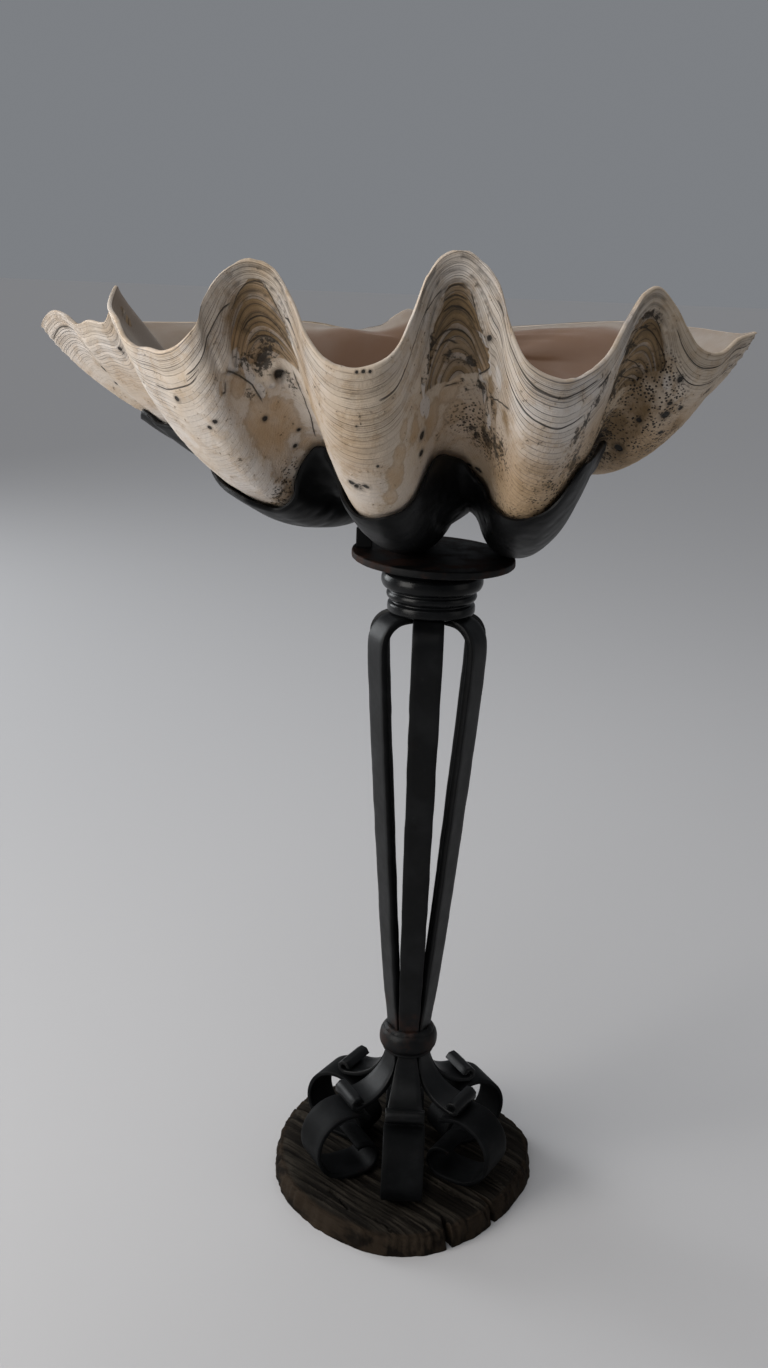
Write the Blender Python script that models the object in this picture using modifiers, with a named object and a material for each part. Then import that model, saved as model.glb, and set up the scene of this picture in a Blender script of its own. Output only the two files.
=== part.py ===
"""Giant clam shell, cavity up, in an iron cradle on six flat bars with scroll feet and a wood base.

Metres, +Z up. The origin is on the table, under the middle of the top plate. The shell opens upwards. Its wavy
margin faces -Y and its hinge is at the back, towards +Y.
"""

import math

import bmesh
import bpy
import numpy as np
from mathutils import Vector

MM = 0.001
GAP = 0.3 * MM

# Wood base: a weathered disc, sawn from a trunk, with three cracks
BASE_THICKNESS = 23.5 * MM
BASE_OUTLINE_POINTS = 44
# Radius of the disc every 20 degrees, counted from +X towards +Y
BASE_RADII = MM * np.array(
    (128, 136, 134, 130, 132, 138, 144, 143, 137, 131, 129, 127, 128, 132, 130, 122, 117, 119)
)
# Cracks: direction in degrees, depth from the rim, width at the rim
BASE_CRACKS = [(-40.5, 42 * MM, 5 * MM), (-68.0, 13 * MM, 6 * MM), (151.0, 26 * MM, 4 * MM)]

# Column: six flat bars. The first one faces the front, and all stand slightly left of the plate's middle
BARS = 6
FIRST_BAR_DEGREES = -89.6
COLUMN_PLACE = (-1.6 * MM, 0, 0)
BAR_THICKNESS = 6.5 * MM
NECK_WIDTH = 17.6 * MM
# The bars' outer face: radius and width at each height, top to neck
BAR_PROFILE = [
    (551 * MM, 53.9 * MM, 28.0 * MM),
    (475 * MM, 48.8 * MM, 27.0 * MM),
    (400 * MM, 42.4 * MM, 26.0 * MM),
    (345 * MM, 37.6 * MM, 25.2 * MM),
    (293 * MM, 32.9 * MM, 24.2 * MM),
    (250 * MM, 28.9 * MM, 23.2 * MM),
    (207 * MM, 24.3 * MM, 21.6 * MM),
    (178 * MM, 20.4 * MM, 20.2 * MM),
    (164 * MM, 19.1 * MM, 19.0 * MM),
    (153 * MM, 19.0 * MM, 18.2 * MM),
    (143 * MM, 19.8 * MM, NECK_WIDTH),
]
BAR_TOP_BEND = 25 * MM
BAR_TOP_Z = 582.6 * MM
BAR_TOP_END_R = 17 * MM
# The ramp is a quarter of an ellipse from the neck to the roll, given as radius and height
RAMP_CENTRE = (64.5 * MM, 143 * MM)
RAMP_REACH = 44.5 * MM
RAMP_DROP = 42.5 * MM
RAMP_SWEEP_DEGREES = 88
RAMP_END_THICKNESS = 4.4 * MM
RAMP_END_WIDTH = 37.5 * MM
ROLL_RADIUS = 5.3 * MM
BAR_SIDE_GAP = 0.7 * MM

# Foot scrolls: one flat strap under each bar's ramp
STRAP_THICKNESS = 4.5 * MM
STRAP_WIDTH = 39.5 * MM
HOOP_CENTRE = (70 * MM, 59.3 * MM)
HOOP_RADIUS = 35.2 * MM
CURL_CENTRE_R = 54.5 * MM
CURL_RADIUS = 17 * MM

# Turned collars: radius and height of each point, top to bottom
NECK_RING_PROFILE = [
    (22.9, 165.6), (24.8, 164.8), (26.8, 162.0), (27.9, 158.0), (28.2, 153.5), (27.6, 149.6), (26.0, 146.8),
    (24.6, 145.6), (24.9, 143.8), (24.1, 142.6), (23.0, 142.8), (22.6, 153.0),
]
COLLAR_PROFILE = [
    (39.5, 631.0), (40.0, 620.5), (43.6, 618.6), (45.2, 614.6), (45.2, 610.0), (43.2, 606.0), (39.2, 604.2),
    (38.6, 603.0), (39.9, 601.2), (40.4, 598.6), (39.0, 595.8), (36.6, 594.6), (36.2, 593.2), (38.6, 591.4),
    (39.2, 588.6), (38.8, 584.2), (37.4, 583.2),
]
COLLAR_NECK_Z = 625 * MM
TURNED_STEPS = 28

# Top plate
PLATE_RADIUS = 72.5 * MM
PLATE_THICKNESS = 6.6 * MM
PLATE_TOP_Z = 636 * MM
PLATE_SLOPE_X = math.tan(math.radians(-1.57))
PLATE_SLOPE_Y = math.tan(math.radians(1.45))

# Shell: the closed curve of its margin. Seen from above it runs from the left end along the front, and back
# behind the hinge. A crest stands over each groove of the outside and a valley ends each rib.
MARGIN = MM * np.array([
    (-367, 85, 811), (-354, 68, 826), (-339, 55, 824), (-326, 45, 817), (-312, 30, 821), (-291, 8, 822),
    (-278, -12, 852), (-279, -30, 837), (-268, -52, 827), (-257, -74, 815), (-244, -94, 810),
    (-229, -112, 809), (-216, -126, 808), (-203, -138, 813), (-194, -146, 820), (-184, -148, 833),
    (-180, -143, 850), (-167, -134, 869), (-150, -128, 878), (-133, -132, 874), (-114, -158, 851),
    (-99, -184, 826), (-84, -196, 812), (-64, -202, 807), (-46, -200, 811), (-34, -192, 820),
    (-23, -176, 844), (-13, -162, 873), (-2, -156, 887), (11, -154, 891), (27, -158, 881),
    (37, -164, 868), (47, -176, 839), (62, -190, 814), (88, -187, 804), (111, -168, 812),
    (125, -145, 823), (139, -118, 845), (154, -94, 865), (165, -84, 869), (178, -82, 857),
    (189, -82, 840), (201, -72, 826), (215, -58, 820), (228, -42, 821), (244, -16, 830),
    (266, 25, 834), (261, 62, 831), (228, 130, 832), (176, 172, 833), (122, 188, 829), (65, 194, 823),
    (-5, 196, 819), (-35, 196, 836), (-49, 196, 830), (-89, 196, 817), (-145, 194, 820),
    (-249, 176, 816), (-309, 150, 815), (-348, 112, 813),
])
MARGIN_COLUMNS = 94
UMBO = MM * np.array((50.0, 172.0, 785.0))
HINGE_PLATE = MM * np.array((0.0, -24.0, 16.0))
GROWTH_TURN = math.radians(88.0)
GROWTH_CURL = 1.27
# The back margin, beyond this place, hardly turns as the shell grows
STIFF_BACK_FROM = 110 * MM
STIFF_BACK_OVER = 70 * MM
STIFF_BACK_SHARE = 0.92
# The left end sags, from this distance left of the middle
BELLY_DEPTH = 56 * MM
BELLY_FROM = 130 * MM
BELLY_OVER = 200 * MM
# The wall: at the margin, what is added at the floor, and what is added beside the hinge
MARGIN_WALL = 9 * MM
FLOOR_WALL = 14 * MM
HINGE_WALL = 14 * MM
HINGE_WALL_FROM = 120 * MM
HINGE_WALL_OVER = 60 * MM
FOLD_SPAN = 0.13
OUTER_ROWS = (0.0, 0.05, 0.11, 0.17, 0.24, 0.31, 0.38, 0.46, 0.54, 0.62, 0.71, 0.8, 0.9)
INNER_ROWS = (0.0, 0.08, 0.18, 0.3, 0.43, 0.57, 0.72, 0.88)

# Cradle: where its edges cross the shell, as a share of the margin's length and a growth turn
CRADLE_TOP = [
    (0.0, 0.30), (0.03, 0.265), (0.08, 0.31), (0.125, 0.30), (0.157, 0.295), (0.168, 0.34), (0.182, 0.35),
    (0.21, 0.335), (0.245, 0.30), (0.275, 0.26), (0.292, 0.235), (0.31, 0.24), (0.33, 0.245), (0.342, 0.28),
    (0.352, 0.325), (0.368, 0.37), (0.388, 0.345), (0.41, 0.265), (0.421, 0.235), (0.432, 0.205),
    (0.446, 0.155), (0.463, 0.19), (0.49, 0.29), (0.515, 0.37),
]
CRADLE_BOTTOM = [(0.0, 0.40), (0.08, 0.50), (0.157, 0.60), (0.289, 0.66), (0.425, 0.66), (0.515, 0.56)]
CRADLE_END = 0.515
CRADLE_ROWS = 6
CRADLE_STANDOFF = 1.6 * MM
CRADLE_THICKNESS = 4.5 * MM
# The sheet fills the grooves by this much at its lower edge
CRADLE_GROOVE_FILL = 38 * MM
CRADLE_FILL_AT_TOP = 0.15
FOLD_START = -6 * MM
FOLD_OVER = 24 * MM
# It stands off the shell by this much more at its lower edge, at these shares of the margin's length
CRADLE_HANG = [(0.20, 5.5 * MM), (0.27, 0), (0.31, 0), (0.38, 5.5 * MM), (0.44, 8.5 * MM), (0.515, 2 * MM)]
MIDDLE_RIB = 0.289
PLATE_CLEARANCE = 4 * MM
POST_SIZE = (14.5 * MM, 6 * MM)
POST_PLACE = (-61.5 * MM, 2 * MM)
POST_LOOK_AROUND = 22 * MM

IRON = ("black iron", (0.035, 0.036, 0.037, 1), 0.45, 0.6)
RUSTY_IRON = ("rusty black iron", (0.06, 0.045, 0.038, 1), 0.6, 0.5)
WOOD = ("weathered wood", (0.13, 0.10, 0.08, 1), 0.9, 0.0)
SHELL = ("old shell", (0.80, 0.74, 0.64, 1), 0.7, 0.0)


def clear_scene():
    for item in list(bpy.data.objects):
        bpy.data.objects.remove(item, do_unlink=True)


def new_collection(name):
    collection = bpy.data.collections.new(name)
    bpy.context.scene.collection.children.link(collection)
    return collection


def own_material(item, look):
    """Give the object a material of its own."""
    label, colour, roughness, metallic = look
    material = bpy.data.materials.new(f"{item.name} {label}")
    material.use_nodes = True
    shader = material.node_tree.nodes["Principled BSDF"]
    shader.inputs["Base Color"].default_value = colour
    shader.inputs["Roughness"].default_value = roughness
    shader.inputs["Metallic"].default_value = metallic
    item.data.materials.append(material)


def place(item, collection, look, location=(0, 0, 0), rotation=(0, 0, 0)):
    collection.objects.link(item)
    item.location = location
    item.rotation_euler = rotation
    own_material(item, look)
    return item


def mesh_object(name, vertices, faces):
    """An object from points and faces, with its faces turned outwards and shaded smooth."""
    mesh = bpy.data.meshes.new(name)
    mesh.from_pydata([tuple(v) for v in vertices], [], faces)
    mesh.update()
    bm = bmesh.new()
    bm.from_mesh(mesh)
    bmesh.ops.recalc_face_normals(bm, faces=bm.faces)
    bm.to_mesh(mesh)
    bm.free()
    mesh.shade_smooth()
    mesh.set_sharp_from_angle(angle=math.radians(40))
    return bpy.data.objects.new(name, mesh)


def outline_object(name, points, thickness):
    """A flat closed outline as a filled 2D curve."""
    curve = bpy.data.curves.new(name, "CURVE")
    curve.dimensions = "2D"
    curve.fill_mode = "BOTH"
    curve.extrude = thickness / 2
    spline = curve.splines.new("POLY")
    spline.points.add(len(points) - 1)
    for point, (x, y) in zip(spline.points, points):
        point.co = (x, y, 0, 1)
    spline.use_cyclic_u = True
    return bpy.data.objects.new(name, curve)


def turned_object(name, profile, steps, closed):
    """A turned piece: the profile runs down its outer side. A closed profile leaves a bore."""
    mesh = bpy.data.meshes.new(name)
    points = [(r * MM, 0, z * MM) for r, z in profile]
    if not closed:
        points = [(0, 0, points[0][2])] + points + [(0, 0, points[-1][2])]
    edges = [(i, i + 1) for i in range(len(points) - 1)]
    if closed:
        edges.append((len(points) - 1, 0))
    mesh.from_pydata(points, edges, [])
    item = bpy.data.objects.new(name, mesh)
    screw = item.modifiers.new("turn", "SCREW")
    screw.steps = steps
    screw.render_steps = steps
    screw.use_merge_vertices = True
    screw.merge_threshold = 0.00005
    screw.use_smooth_shade = True
    return item


def smooth_rise(x):
    """0 below 0, 1 above 1 and a smooth rise between."""
    x = np.clip(x, 0, 1)
    return x * x * (3 - 2 * x)


def closed_curve(points, count):
    """count points, evenly spaced along a smooth closed curve through the given points."""
    fine = 24
    step = np.linspace(0, 1, fine, endpoint=False)[:, None]
    stretches = []
    total = len(points)
    for i in range(total):
        a, b, c, d = points[i - 1], points[i], points[(i + 1) % total], points[(i + 2) % total]
        knots = np.cumsum([0] + [np.linalg.norm(q - p) ** 0.5 for p, q in ((a, b), (b, c), (c, d))])
        t = knots[1] + (knots[2] - knots[1]) * step

        def between(p, q, low, high):
            return ((knots[high] - t) * p + (t - knots[low]) * q) / (knots[high] - knots[low])

        ab, bc, cd = between(a, b, 0, 1), between(b, c, 1, 2), between(c, d, 2, 3)
        stretches.append(between(between(ab, bc, 0, 2), between(bc, cd, 1, 3), 1, 2))
    curve = np.vstack(stretches + [points[:1]])
    along = np.concatenate([[0], np.cumsum(np.linalg.norm(np.diff(curve, axis=0), axis=1))])
    wanted = np.linspace(0, along[-1], count, endpoint=False)
    return np.stack([np.interp(wanted, along, curve[:, k]) for k in range(3)], axis=1)


def mean_loop(loop, share):
    """The margin with its folds averaged out over a share of its length."""
    reach = round(share * len(loop) / 2)
    steps = np.arange(-reach, reach + 1)
    weights = 1 + np.cos(np.pi * steps / (reach + 1))
    weights = weights / weights.sum()
    return sum(weight * np.roll(loop, -step, axis=0) for weight, step in zip(weights, steps))


def inward_of(loop):
    """Level unit vectors that point from the loop into the shell."""
    tangent = np.roll(loop, -1, axis=0) - np.roll(loop, 1, axis=0)
    inward = np.stack([-tangent[:, 1], tangent[:, 0], np.zeros(len(loop))], axis=1)
    return inward / np.linalg.norm(inward, axis=1)[:, None]


def sweep(curve, margin, pole, t):
    """The curve as it stood at growth turn t: shrunk towards the pole and turned down about the hinge."""
    size = 1 - t ** GROWTH_CURL
    stiff = smooth_rise((margin[:, 1] - STIFF_BACK_FROM) / STIFF_BACK_OVER)
    angle = GROWTH_TURN * t * (1 - STIFF_BACK_SHARE * stiff)
    arm = curve - pole
    y = arm[:, 1] * np.cos(angle) - arm[:, 2] * np.sin(angle)
    z = arm[:, 1] * np.sin(angle) + arm[:, 2] * np.cos(angle)
    belly = BELLY_DEPTH * np.clip((-margin[:, 0] - BELLY_FROM) / BELLY_OVER, 0, 1) ** 1.5
    sag = belly * 4 * size * (1 - size)
    return pole + np.stack([size * arm[:, 0], size * y, size * z - sag], axis=1)


def shell_outside(margin, t):
    return sweep(margin, margin, UMBO, t)


def shell_inside(margin, t):
    mean = mean_loop(margin, FOLD_SPAN)
    fold = 1 - 0.5 * smooth_rise(t / 0.6)
    wall = MARGIN_WALL + FLOOR_WALL * smooth_rise(t / 0.4)
    wall = wall + HINGE_WALL * smooth_rise((margin[:, 1] - HINGE_WALL_FROM) / HINGE_WALL_OVER)
    rim = mean + fold * (margin - mean) + wall[:, None] * inward_of(mean)
    return sweep(rim, margin, UMBO + HINGE_PLATE, t)


def closed_rows(rows, first_pole, last_pole):
    """Faces of a closed body whose rows are rings, with a point at each end."""
    count = len(rows[0])
    vertices = [first_pole] + [p for row in rows for p in row] + [last_pole]
    faces = []
    for i in range(count):
        j = (i + 1) % count
        faces.append((0, 1 + j, 1 + i))
        for k in range(len(rows) - 1):
            low, high = 1 + k * count, 1 + (k + 1) * count
            faces.append((low + i, low + j, high + j, high + i))
        last = 1 + (len(rows) - 1) * count
        faces.append((last + i, last + j, len(vertices) - 1))
    return vertices, faces


def make_shell(collection, margin):
    rows = [shell_outside(margin, t) for t in reversed(OUTER_ROWS)]
    rows += [shell_inside(margin, t) for t in INNER_ROWS]
    item = mesh_object("clam_shell", *closed_rows(rows, UMBO, UMBO + HINGE_PLATE))
    place(item, collection, SHELL)


def plate_top(x, y):
    return PLATE_TOP_Z + PLATE_SLOPE_X * x + PLATE_SLOPE_Y * y


def sheet_row(margin, depth):
    """One row of the cradle's middle surface: it follows the ribs and bridges the grooves."""
    mean = mean_loop(margin, FOLD_SPAN)
    inward = inward_of(mean)
    fold = ((margin - mean) * inward).sum(axis=1)
    groove = smooth_rise((fold - FOLD_START) / FOLD_OVER)
    return margin - (CRADLE_GROOVE_FILL * groove * depth)[:, None] * inward


def make_cradle(collection, margin):
    """A sheet of even thickness under the shell, wavy like its growth lines."""
    last = round(CRADLE_END * MARGIN_COLUMNS)
    share = np.arange(MARGIN_COLUMNS) / MARGIN_COLUMNS
    top = np.interp(share, *zip(*CRADLE_TOP))
    bottom = np.interp(share, *zip(*CRADLE_BOTTOM))
    hang = np.interp(share, *zip(*CRADLE_HANG))
    grid = []
    standoff = []
    for k in range(-1, CRADLE_ROWS + 2):
        part = k / CRADLE_ROWS
        turn = top + (bottom - top) * part
        depth = smooth_rise(CRADLE_FILL_AT_TOP + (1 - CRADLE_FILL_AT_TOP) * part)
        grid.append(sweep(sheet_row(margin, depth), margin, UMBO, turn))
        standoff.append(CRADLE_STANDOFF + hang * depth)
    grid = np.array(grid)
    standoff = np.array(standoff)[:, :, None]
    along = np.roll(grid, -1, axis=1) - np.roll(grid, 1, axis=1)
    down = np.gradient(grid, axis=0)
    normal = np.cross(along, down)
    normal /= np.linalg.norm(normal, axis=2)[:, :, None]
    if normal[CRADLE_ROWS // 2, round(MIDDLE_RIB * MARGIN_COLUMNS), 2] > 0:
        normal = -normal
    near = (grid + standoff * normal)[1:-1, :last + 1]
    far = (grid + (standoff + CRADLE_THICKNESS) * normal)[1:-1, :last + 1]
    floor = plate_top(far[:, :, 0], far[:, :, 1]) + GAP
    over_plate = np.hypot(far[:, :, 0], far[:, :, 1]) < PLATE_RADIUS + PLATE_CLEARANCE
    far[:, :, 2] = np.where(over_plate, np.maximum(far[:, :, 2], floor), far[:, :, 2])
    rows, columns = near.shape[:2]
    vertices = np.concatenate([near.reshape(-1, 3), far.reshape(-1, 3)])
    half = rows * columns
    faces = []
    for k in range(rows - 1):
        for i in range(columns - 1):
            quad = (k * columns + i, k * columns + i + 1, (k + 1) * columns + i + 1, (k + 1) * columns + i)
            faces.append(quad)
            faces.append(tuple(half + v for v in reversed(quad)))
    edge = list(range(columns))
    edge += [k * columns + columns - 1 for k in range(1, rows)]
    edge += [(rows - 1) * columns + i for i in range(columns - 2, -1, -1)]
    edge += [k * columns for k in range(rows - 2, 0, -1)]
    for a, b in zip(edge, edge[1:] + edge[:1]):
        faces.append((a, half + a, half + b, b))
    place(mesh_object("shell_cradle", vertices, faces), collection, IRON)
    return far


def make_cradle_post(collection, far):
    """A short strip that stands on the plate and carries the cradle's left lobe."""
    x, y = POST_PLACE
    width, depth = POST_SIZE
    points = far.reshape(-1, 3)
    near = np.hypot(points[:, 0] - x, points[:, 1] - y) < POST_LOOK_AROUND
    top = points[near, 2].min() - GAP
    bm = bmesh.new()
    bmesh.ops.create_cube(bm, size=1.0)
    for vertex in bm.verts:
        corner_x = x + vertex.co.x * width
        corner_y = y + vertex.co.y * depth
        height = top if vertex.co.z > 0 else plate_top(corner_x, corner_y) + GAP
        vertex.co = (corner_x, corner_y, height)
    mesh = bpy.data.meshes.new("cradle_post")
    bm.to_mesh(mesh)
    bm.free()
    place(bpy.data.objects.new("cradle_post", mesh), collection, IRON)


def make_base(collection):
    """The disc's outline, with a wedge cut from the rim for each crack."""
    count = len(BASE_RADII)
    points = []
    for k in range(BASE_OUTLINE_POINTS):
        degrees = 360 * k / BASE_OUTLINE_POINTS
        place_in = degrees / (360 / count)
        low = int(place_in)
        blend = place_in - low
        radius = BASE_RADII[low % count] * (1 - blend) + BASE_RADII[(low + 1) % count] * blend
        points.append((degrees, radius))
    for direction, depth, width in BASE_CRACKS:
        degrees = direction % 360
        rim = np.interp(degrees, [d for d, _ in points], [r for _, r in points])
        half = math.degrees(width / 2 / rim)
        points = [p for p in points if abs(p[0] - degrees) > half + 0.5]
        points += [(degrees - half, rim), (degrees, rim - depth), (degrees + half, rim)]
        points.sort()
    outline = [(r * math.cos(math.radians(d)), r * math.sin(math.radians(d))) for d, r in points]
    item = outline_object("wood_base", outline, BASE_THICKNESS)
    place(item, collection, WOOD, location=(0, 0, BASE_THICKNESS / 2))


def bar_stations():
    """Stations of a bar, top end to rolled foot: outer face (r, z), outward normal, thickness and width."""
    stations = []
    top_z, top_r, top_width = BAR_PROFILE[0]
    bend_z = BAR_TOP_Z - BAR_TOP_BEND
    bend_r = top_r - BAR_TOP_BEND
    stations.append((BAR_TOP_END_R, BAR_TOP_Z, 0.0, 1.0, BAR_THICKNESS, top_width))
    for degrees in (90, 68, 45, 22, 0):
        a = math.radians(degrees)
        r = bend_r + BAR_TOP_BEND * math.cos(a)
        z = bend_z + BAR_TOP_BEND * math.sin(a)
        stations.append((r, z, math.cos(a), math.sin(a), BAR_THICKNESS, top_width))
    for i in range(1, len(BAR_PROFILE)):
        z, r, width = BAR_PROFILE[i]
        before, after = BAR_PROFILE[i - 1], BAR_PROFILE[min(i + 1, len(BAR_PROFILE) - 1)]
        slope = Vector((before[0] - after[0], -(before[1] - after[1]))).normalized()
        stations.append((r, z, slope.x, slope.y, BAR_THICKNESS, width))
    ramp_steps = 7
    for k in range(1, ramp_steps + 1):
        share = k / ramp_steps
        a = math.radians(180 + RAMP_SWEEP_DEGREES * share)
        r = RAMP_CENTRE[0] + RAMP_REACH * math.cos(a)
        z = RAMP_CENTRE[1] + RAMP_DROP * math.sin(a)
        out = Vector((-math.cos(a) / RAMP_REACH, -math.sin(a) / RAMP_DROP)).normalized()
        thickness = BAR_THICKNESS + (RAMP_END_THICKNESS - BAR_THICKNESS) * share
        width = NECK_WIDTH + (RAMP_END_WIDTH - NECK_WIDTH) * share ** 0.8
        stations.append((r, z, out.x, out.y, thickness, width))
    half = RAMP_END_THICKNESS / 2
    centre_r = stations[-1][0]
    centre_z = stations[-1][1] - half + ROLL_RADIUS
    for degrees in (-52, -10, 35, 80, 125, 170):
        a = math.radians(degrees)
        reach = ROLL_RADIUS - half
        r = centre_r + reach * math.cos(a)
        z = centre_z + reach * math.sin(a)
        stations.append((r, z, -math.cos(a), -math.sin(a), RAMP_END_THICKNESS, RAMP_END_WIDTH))
    return stations


def make_bars(collection):
    """Each bar is a loft of four-cornered sections, narrowed near the axis so that neighbours don't touch."""
    side = math.tan(math.pi / BARS)
    vertices = []
    for r, z, out_r, out_z, thickness, width in bar_stations():
        inner_r, inner_z = r - out_r * thickness, z - out_z * thickness
        outer_half = min(width / 2, r * side - BAR_SIDE_GAP / 2)
        inner_half = min(width / 2, inner_r * side - BAR_SIDE_GAP / 2)
        vertices += [(r, -outer_half, z), (r, outer_half, z)]
        vertices += [(inner_r, inner_half, inner_z), (inner_r, -inner_half, inner_z)]
    count = len(vertices) // 4
    faces = [(3, 2, 1, 0)]
    for k in range(count - 1):
        a, b = 4 * k, 4 * (k + 1)
        for i in range(4):
            j = (i + 1) % 4
            faces.append((a + i, a + j, b + j, b + i))
    end = 4 * (count - 1)
    faces.append((end, end + 1, end + 2, end + 3))
    for k in range(BARS):
        turn = math.radians(FIRST_BAR_DEGREES + 60 * k)
        item = mesh_object(f"column_bar_{k + 1}", vertices, faces)
        place(item, collection, IRON, location=COLUMN_PLACE, rotation=(0, 0, turn))


def arc(centre, radius, first, last, count):
    angles = np.radians(np.linspace(first, last, count))
    return [(centre[0] + radius * math.cos(a), centre[1] + radius * math.sin(a)) for a in angles]


def strap_path():
    """Middle line of a foot strap in its radial plane: the hoop, the flat and then the inner curl."""
    half = STRAP_THICKNESS / 2
    curl_centre = (CURL_CENTRE_R, HOOP_CENTRE[1] - HOOP_RADIUS + CURL_RADIUS)
    hoop = arc(HOOP_CENTRE, HOOP_RADIUS - half, 128, -90, 16)
    return hoop + arc(curl_centre, CURL_RADIUS - half, -90, -300, 11)


def make_feet(collection):
    path = [Vector(p) for p in strap_path()]
    left, right = [], []
    for i, point in enumerate(path):
        along = (path[min(i + 1, len(path) - 1)] - path[max(i - 1, 0)]).normalized()
        side = Vector((-along.y, along.x)) * STRAP_THICKNESS / 2
        left.append(point + side)
        right.append(point - side)
    outline = [tuple(p) for p in left + right[::-1]]
    for k in range(BARS):
        turn = math.radians(FIRST_BAR_DEGREES + 60 * k)
        item = outline_object(f"foot_scroll_{k + 1}", outline, STRAP_WIDTH)
        place(item, collection, IRON, location=COLUMN_PLACE, rotation=(math.pi / 2, 0, turn))


def make_collars(collection):
    ring = turned_object("neck_ring", NECK_RING_PROFILE, TURNED_STEPS, True)
    place(ring, collection, IRON, location=COLUMN_PLACE)
    turned = turned_object("collar_turning", COLLAR_PROFILE, TURNED_STEPS, False)
    collection.objects.link(turned)
    mesh = bpy.data.meshes.new_from_object(turned.evaluated_get(bpy.context.evaluated_depsgraph_get()))
    bpy.data.objects.remove(turned)
    for vertex in mesh.vertices:
        if vertex.co.z > COLLAR_NECK_Z:
            underside = plate_top(vertex.co.x, vertex.co.y) - PLATE_THICKNESS
            vertex.co.z = min(vertex.co.z, underside - GAP)
    place(bpy.data.objects.new("collar", mesh), collection, IRON)


def make_plate(collection):
    bm = bmesh.new()
    bmesh.ops.create_cone(
        bm, cap_ends=True, segments=44, radius1=PLATE_RADIUS, radius2=PLATE_RADIUS, depth=PLATE_THICKNESS
    )
    for vertex in bm.verts:
        vertex.co.z += plate_top(vertex.co.x, vertex.co.y) - PLATE_THICKNESS / 2
    mesh = bpy.data.meshes.new("top_plate")
    bm.to_mesh(mesh)
    bm.free()
    place(bpy.data.objects.new("top_plate", mesh), collection, RUSTY_IRON)


def main():
    clear_scene()
    collection = new_collection("mounted giant clam shell")
    margin = closed_curve(MARGIN, MARGIN_COLUMNS)
    make_base(collection)
    make_feet(collection)
    make_bars(collection)
    make_collars(collection)
    make_plate(collection)
    far = make_cradle(collection, margin)
    make_cradle_post(collection, far)
    make_shell(collection, margin)


main()
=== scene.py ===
"""Dress the mounted giant clam shell: shell, cradle, stand, wood base, stage and camera.

Metres, +Z up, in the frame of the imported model. Laid out as an add-on and run as a script.
"""

import functools
import math

import bmesh
import bpy
import numpy as np
from bpy.props import FloatProperty, FloatVectorProperty, PointerProperty
from bpy.types import Operator, Panel, PropertyGroup
from mathutils import Matrix, Vector


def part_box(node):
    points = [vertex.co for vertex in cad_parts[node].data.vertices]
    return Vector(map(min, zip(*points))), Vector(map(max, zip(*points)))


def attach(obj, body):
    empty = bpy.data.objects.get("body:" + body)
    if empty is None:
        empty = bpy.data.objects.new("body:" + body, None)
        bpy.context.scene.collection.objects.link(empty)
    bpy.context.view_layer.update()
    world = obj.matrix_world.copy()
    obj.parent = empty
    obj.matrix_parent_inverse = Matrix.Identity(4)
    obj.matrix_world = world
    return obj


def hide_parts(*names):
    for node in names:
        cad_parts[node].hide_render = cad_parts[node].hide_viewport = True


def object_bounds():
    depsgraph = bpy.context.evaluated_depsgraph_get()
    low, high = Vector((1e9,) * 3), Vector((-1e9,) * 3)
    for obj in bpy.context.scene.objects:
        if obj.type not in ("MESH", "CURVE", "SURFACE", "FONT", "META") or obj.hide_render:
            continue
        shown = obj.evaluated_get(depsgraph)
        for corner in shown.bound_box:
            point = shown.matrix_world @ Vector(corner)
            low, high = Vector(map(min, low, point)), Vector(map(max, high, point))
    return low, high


bl_info = {
    "name": "Mounted giant clam shell",
    "version": (1, 0, 0),
    "blender": (4, 5, 0),
    "location": "3D View > Sidebar > Clam shell",
    "description": "Builds the shell, its iron stand and wood base, their materials and a studio",
    "category": "Object",
}

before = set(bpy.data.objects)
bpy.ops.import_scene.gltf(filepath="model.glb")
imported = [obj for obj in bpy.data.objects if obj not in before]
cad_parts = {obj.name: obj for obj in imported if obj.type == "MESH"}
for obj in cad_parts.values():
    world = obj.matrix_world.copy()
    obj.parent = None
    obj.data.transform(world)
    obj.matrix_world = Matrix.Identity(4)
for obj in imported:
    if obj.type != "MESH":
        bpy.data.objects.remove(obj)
CAD_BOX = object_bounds()
BODY = "root"
MM = 0.001

# The stand, in millimetres: the same sizes as the solids
BASE_TOP = 23.5
BASE_RADII = np.array((
    128, 136, 134, 130, 132, 138, 144, 143, 137, 131, 129, 127, 128, 132, 130, 122, 117, 119,
))
BASE_ROUNDING = 5.0
BASE_COLUMNS = 400
BASE_TOP_ROWS = 105
BASE_RIM_ROWS = 15
# Cracks that open at the rim: direction in degrees, depth from the rim, width at the rim
RIM_CRACKS = [(-40.5, 42, 5), (-68.0, 13, 6), (151.0, 26, 4)]
# Cracks across the top: corners and half width
TOP_CRACKS = [
    ([(20, -34), (34, -48), (48, -62), (70, -77), (91, -84)], 1.5),
    ([(40, -100), (44, -112), (48, -124)], 2.0),
    ([(-124, 68), (-112, 62), (-96, 55), (-80, 52)], 1.4),
    ([(-30, -104), (-22, -108), (-8, -121)], 0.9),
    ([(62, 40), (84, 30), (104, 12)], 1.0),
    ([(-70, -70), (-58, -82), (-50, -96)], 0.8),
]
TOP_CRACK_DEPTH = 9.0
GRAIN_DEGREES = -40
BARS = 6
FIRST_BAR_DEGREES = -89.6
COLUMN_X = -1.6
BAR_THICKNESS = 6.5
NECK_WIDTH = 17.6
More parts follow.
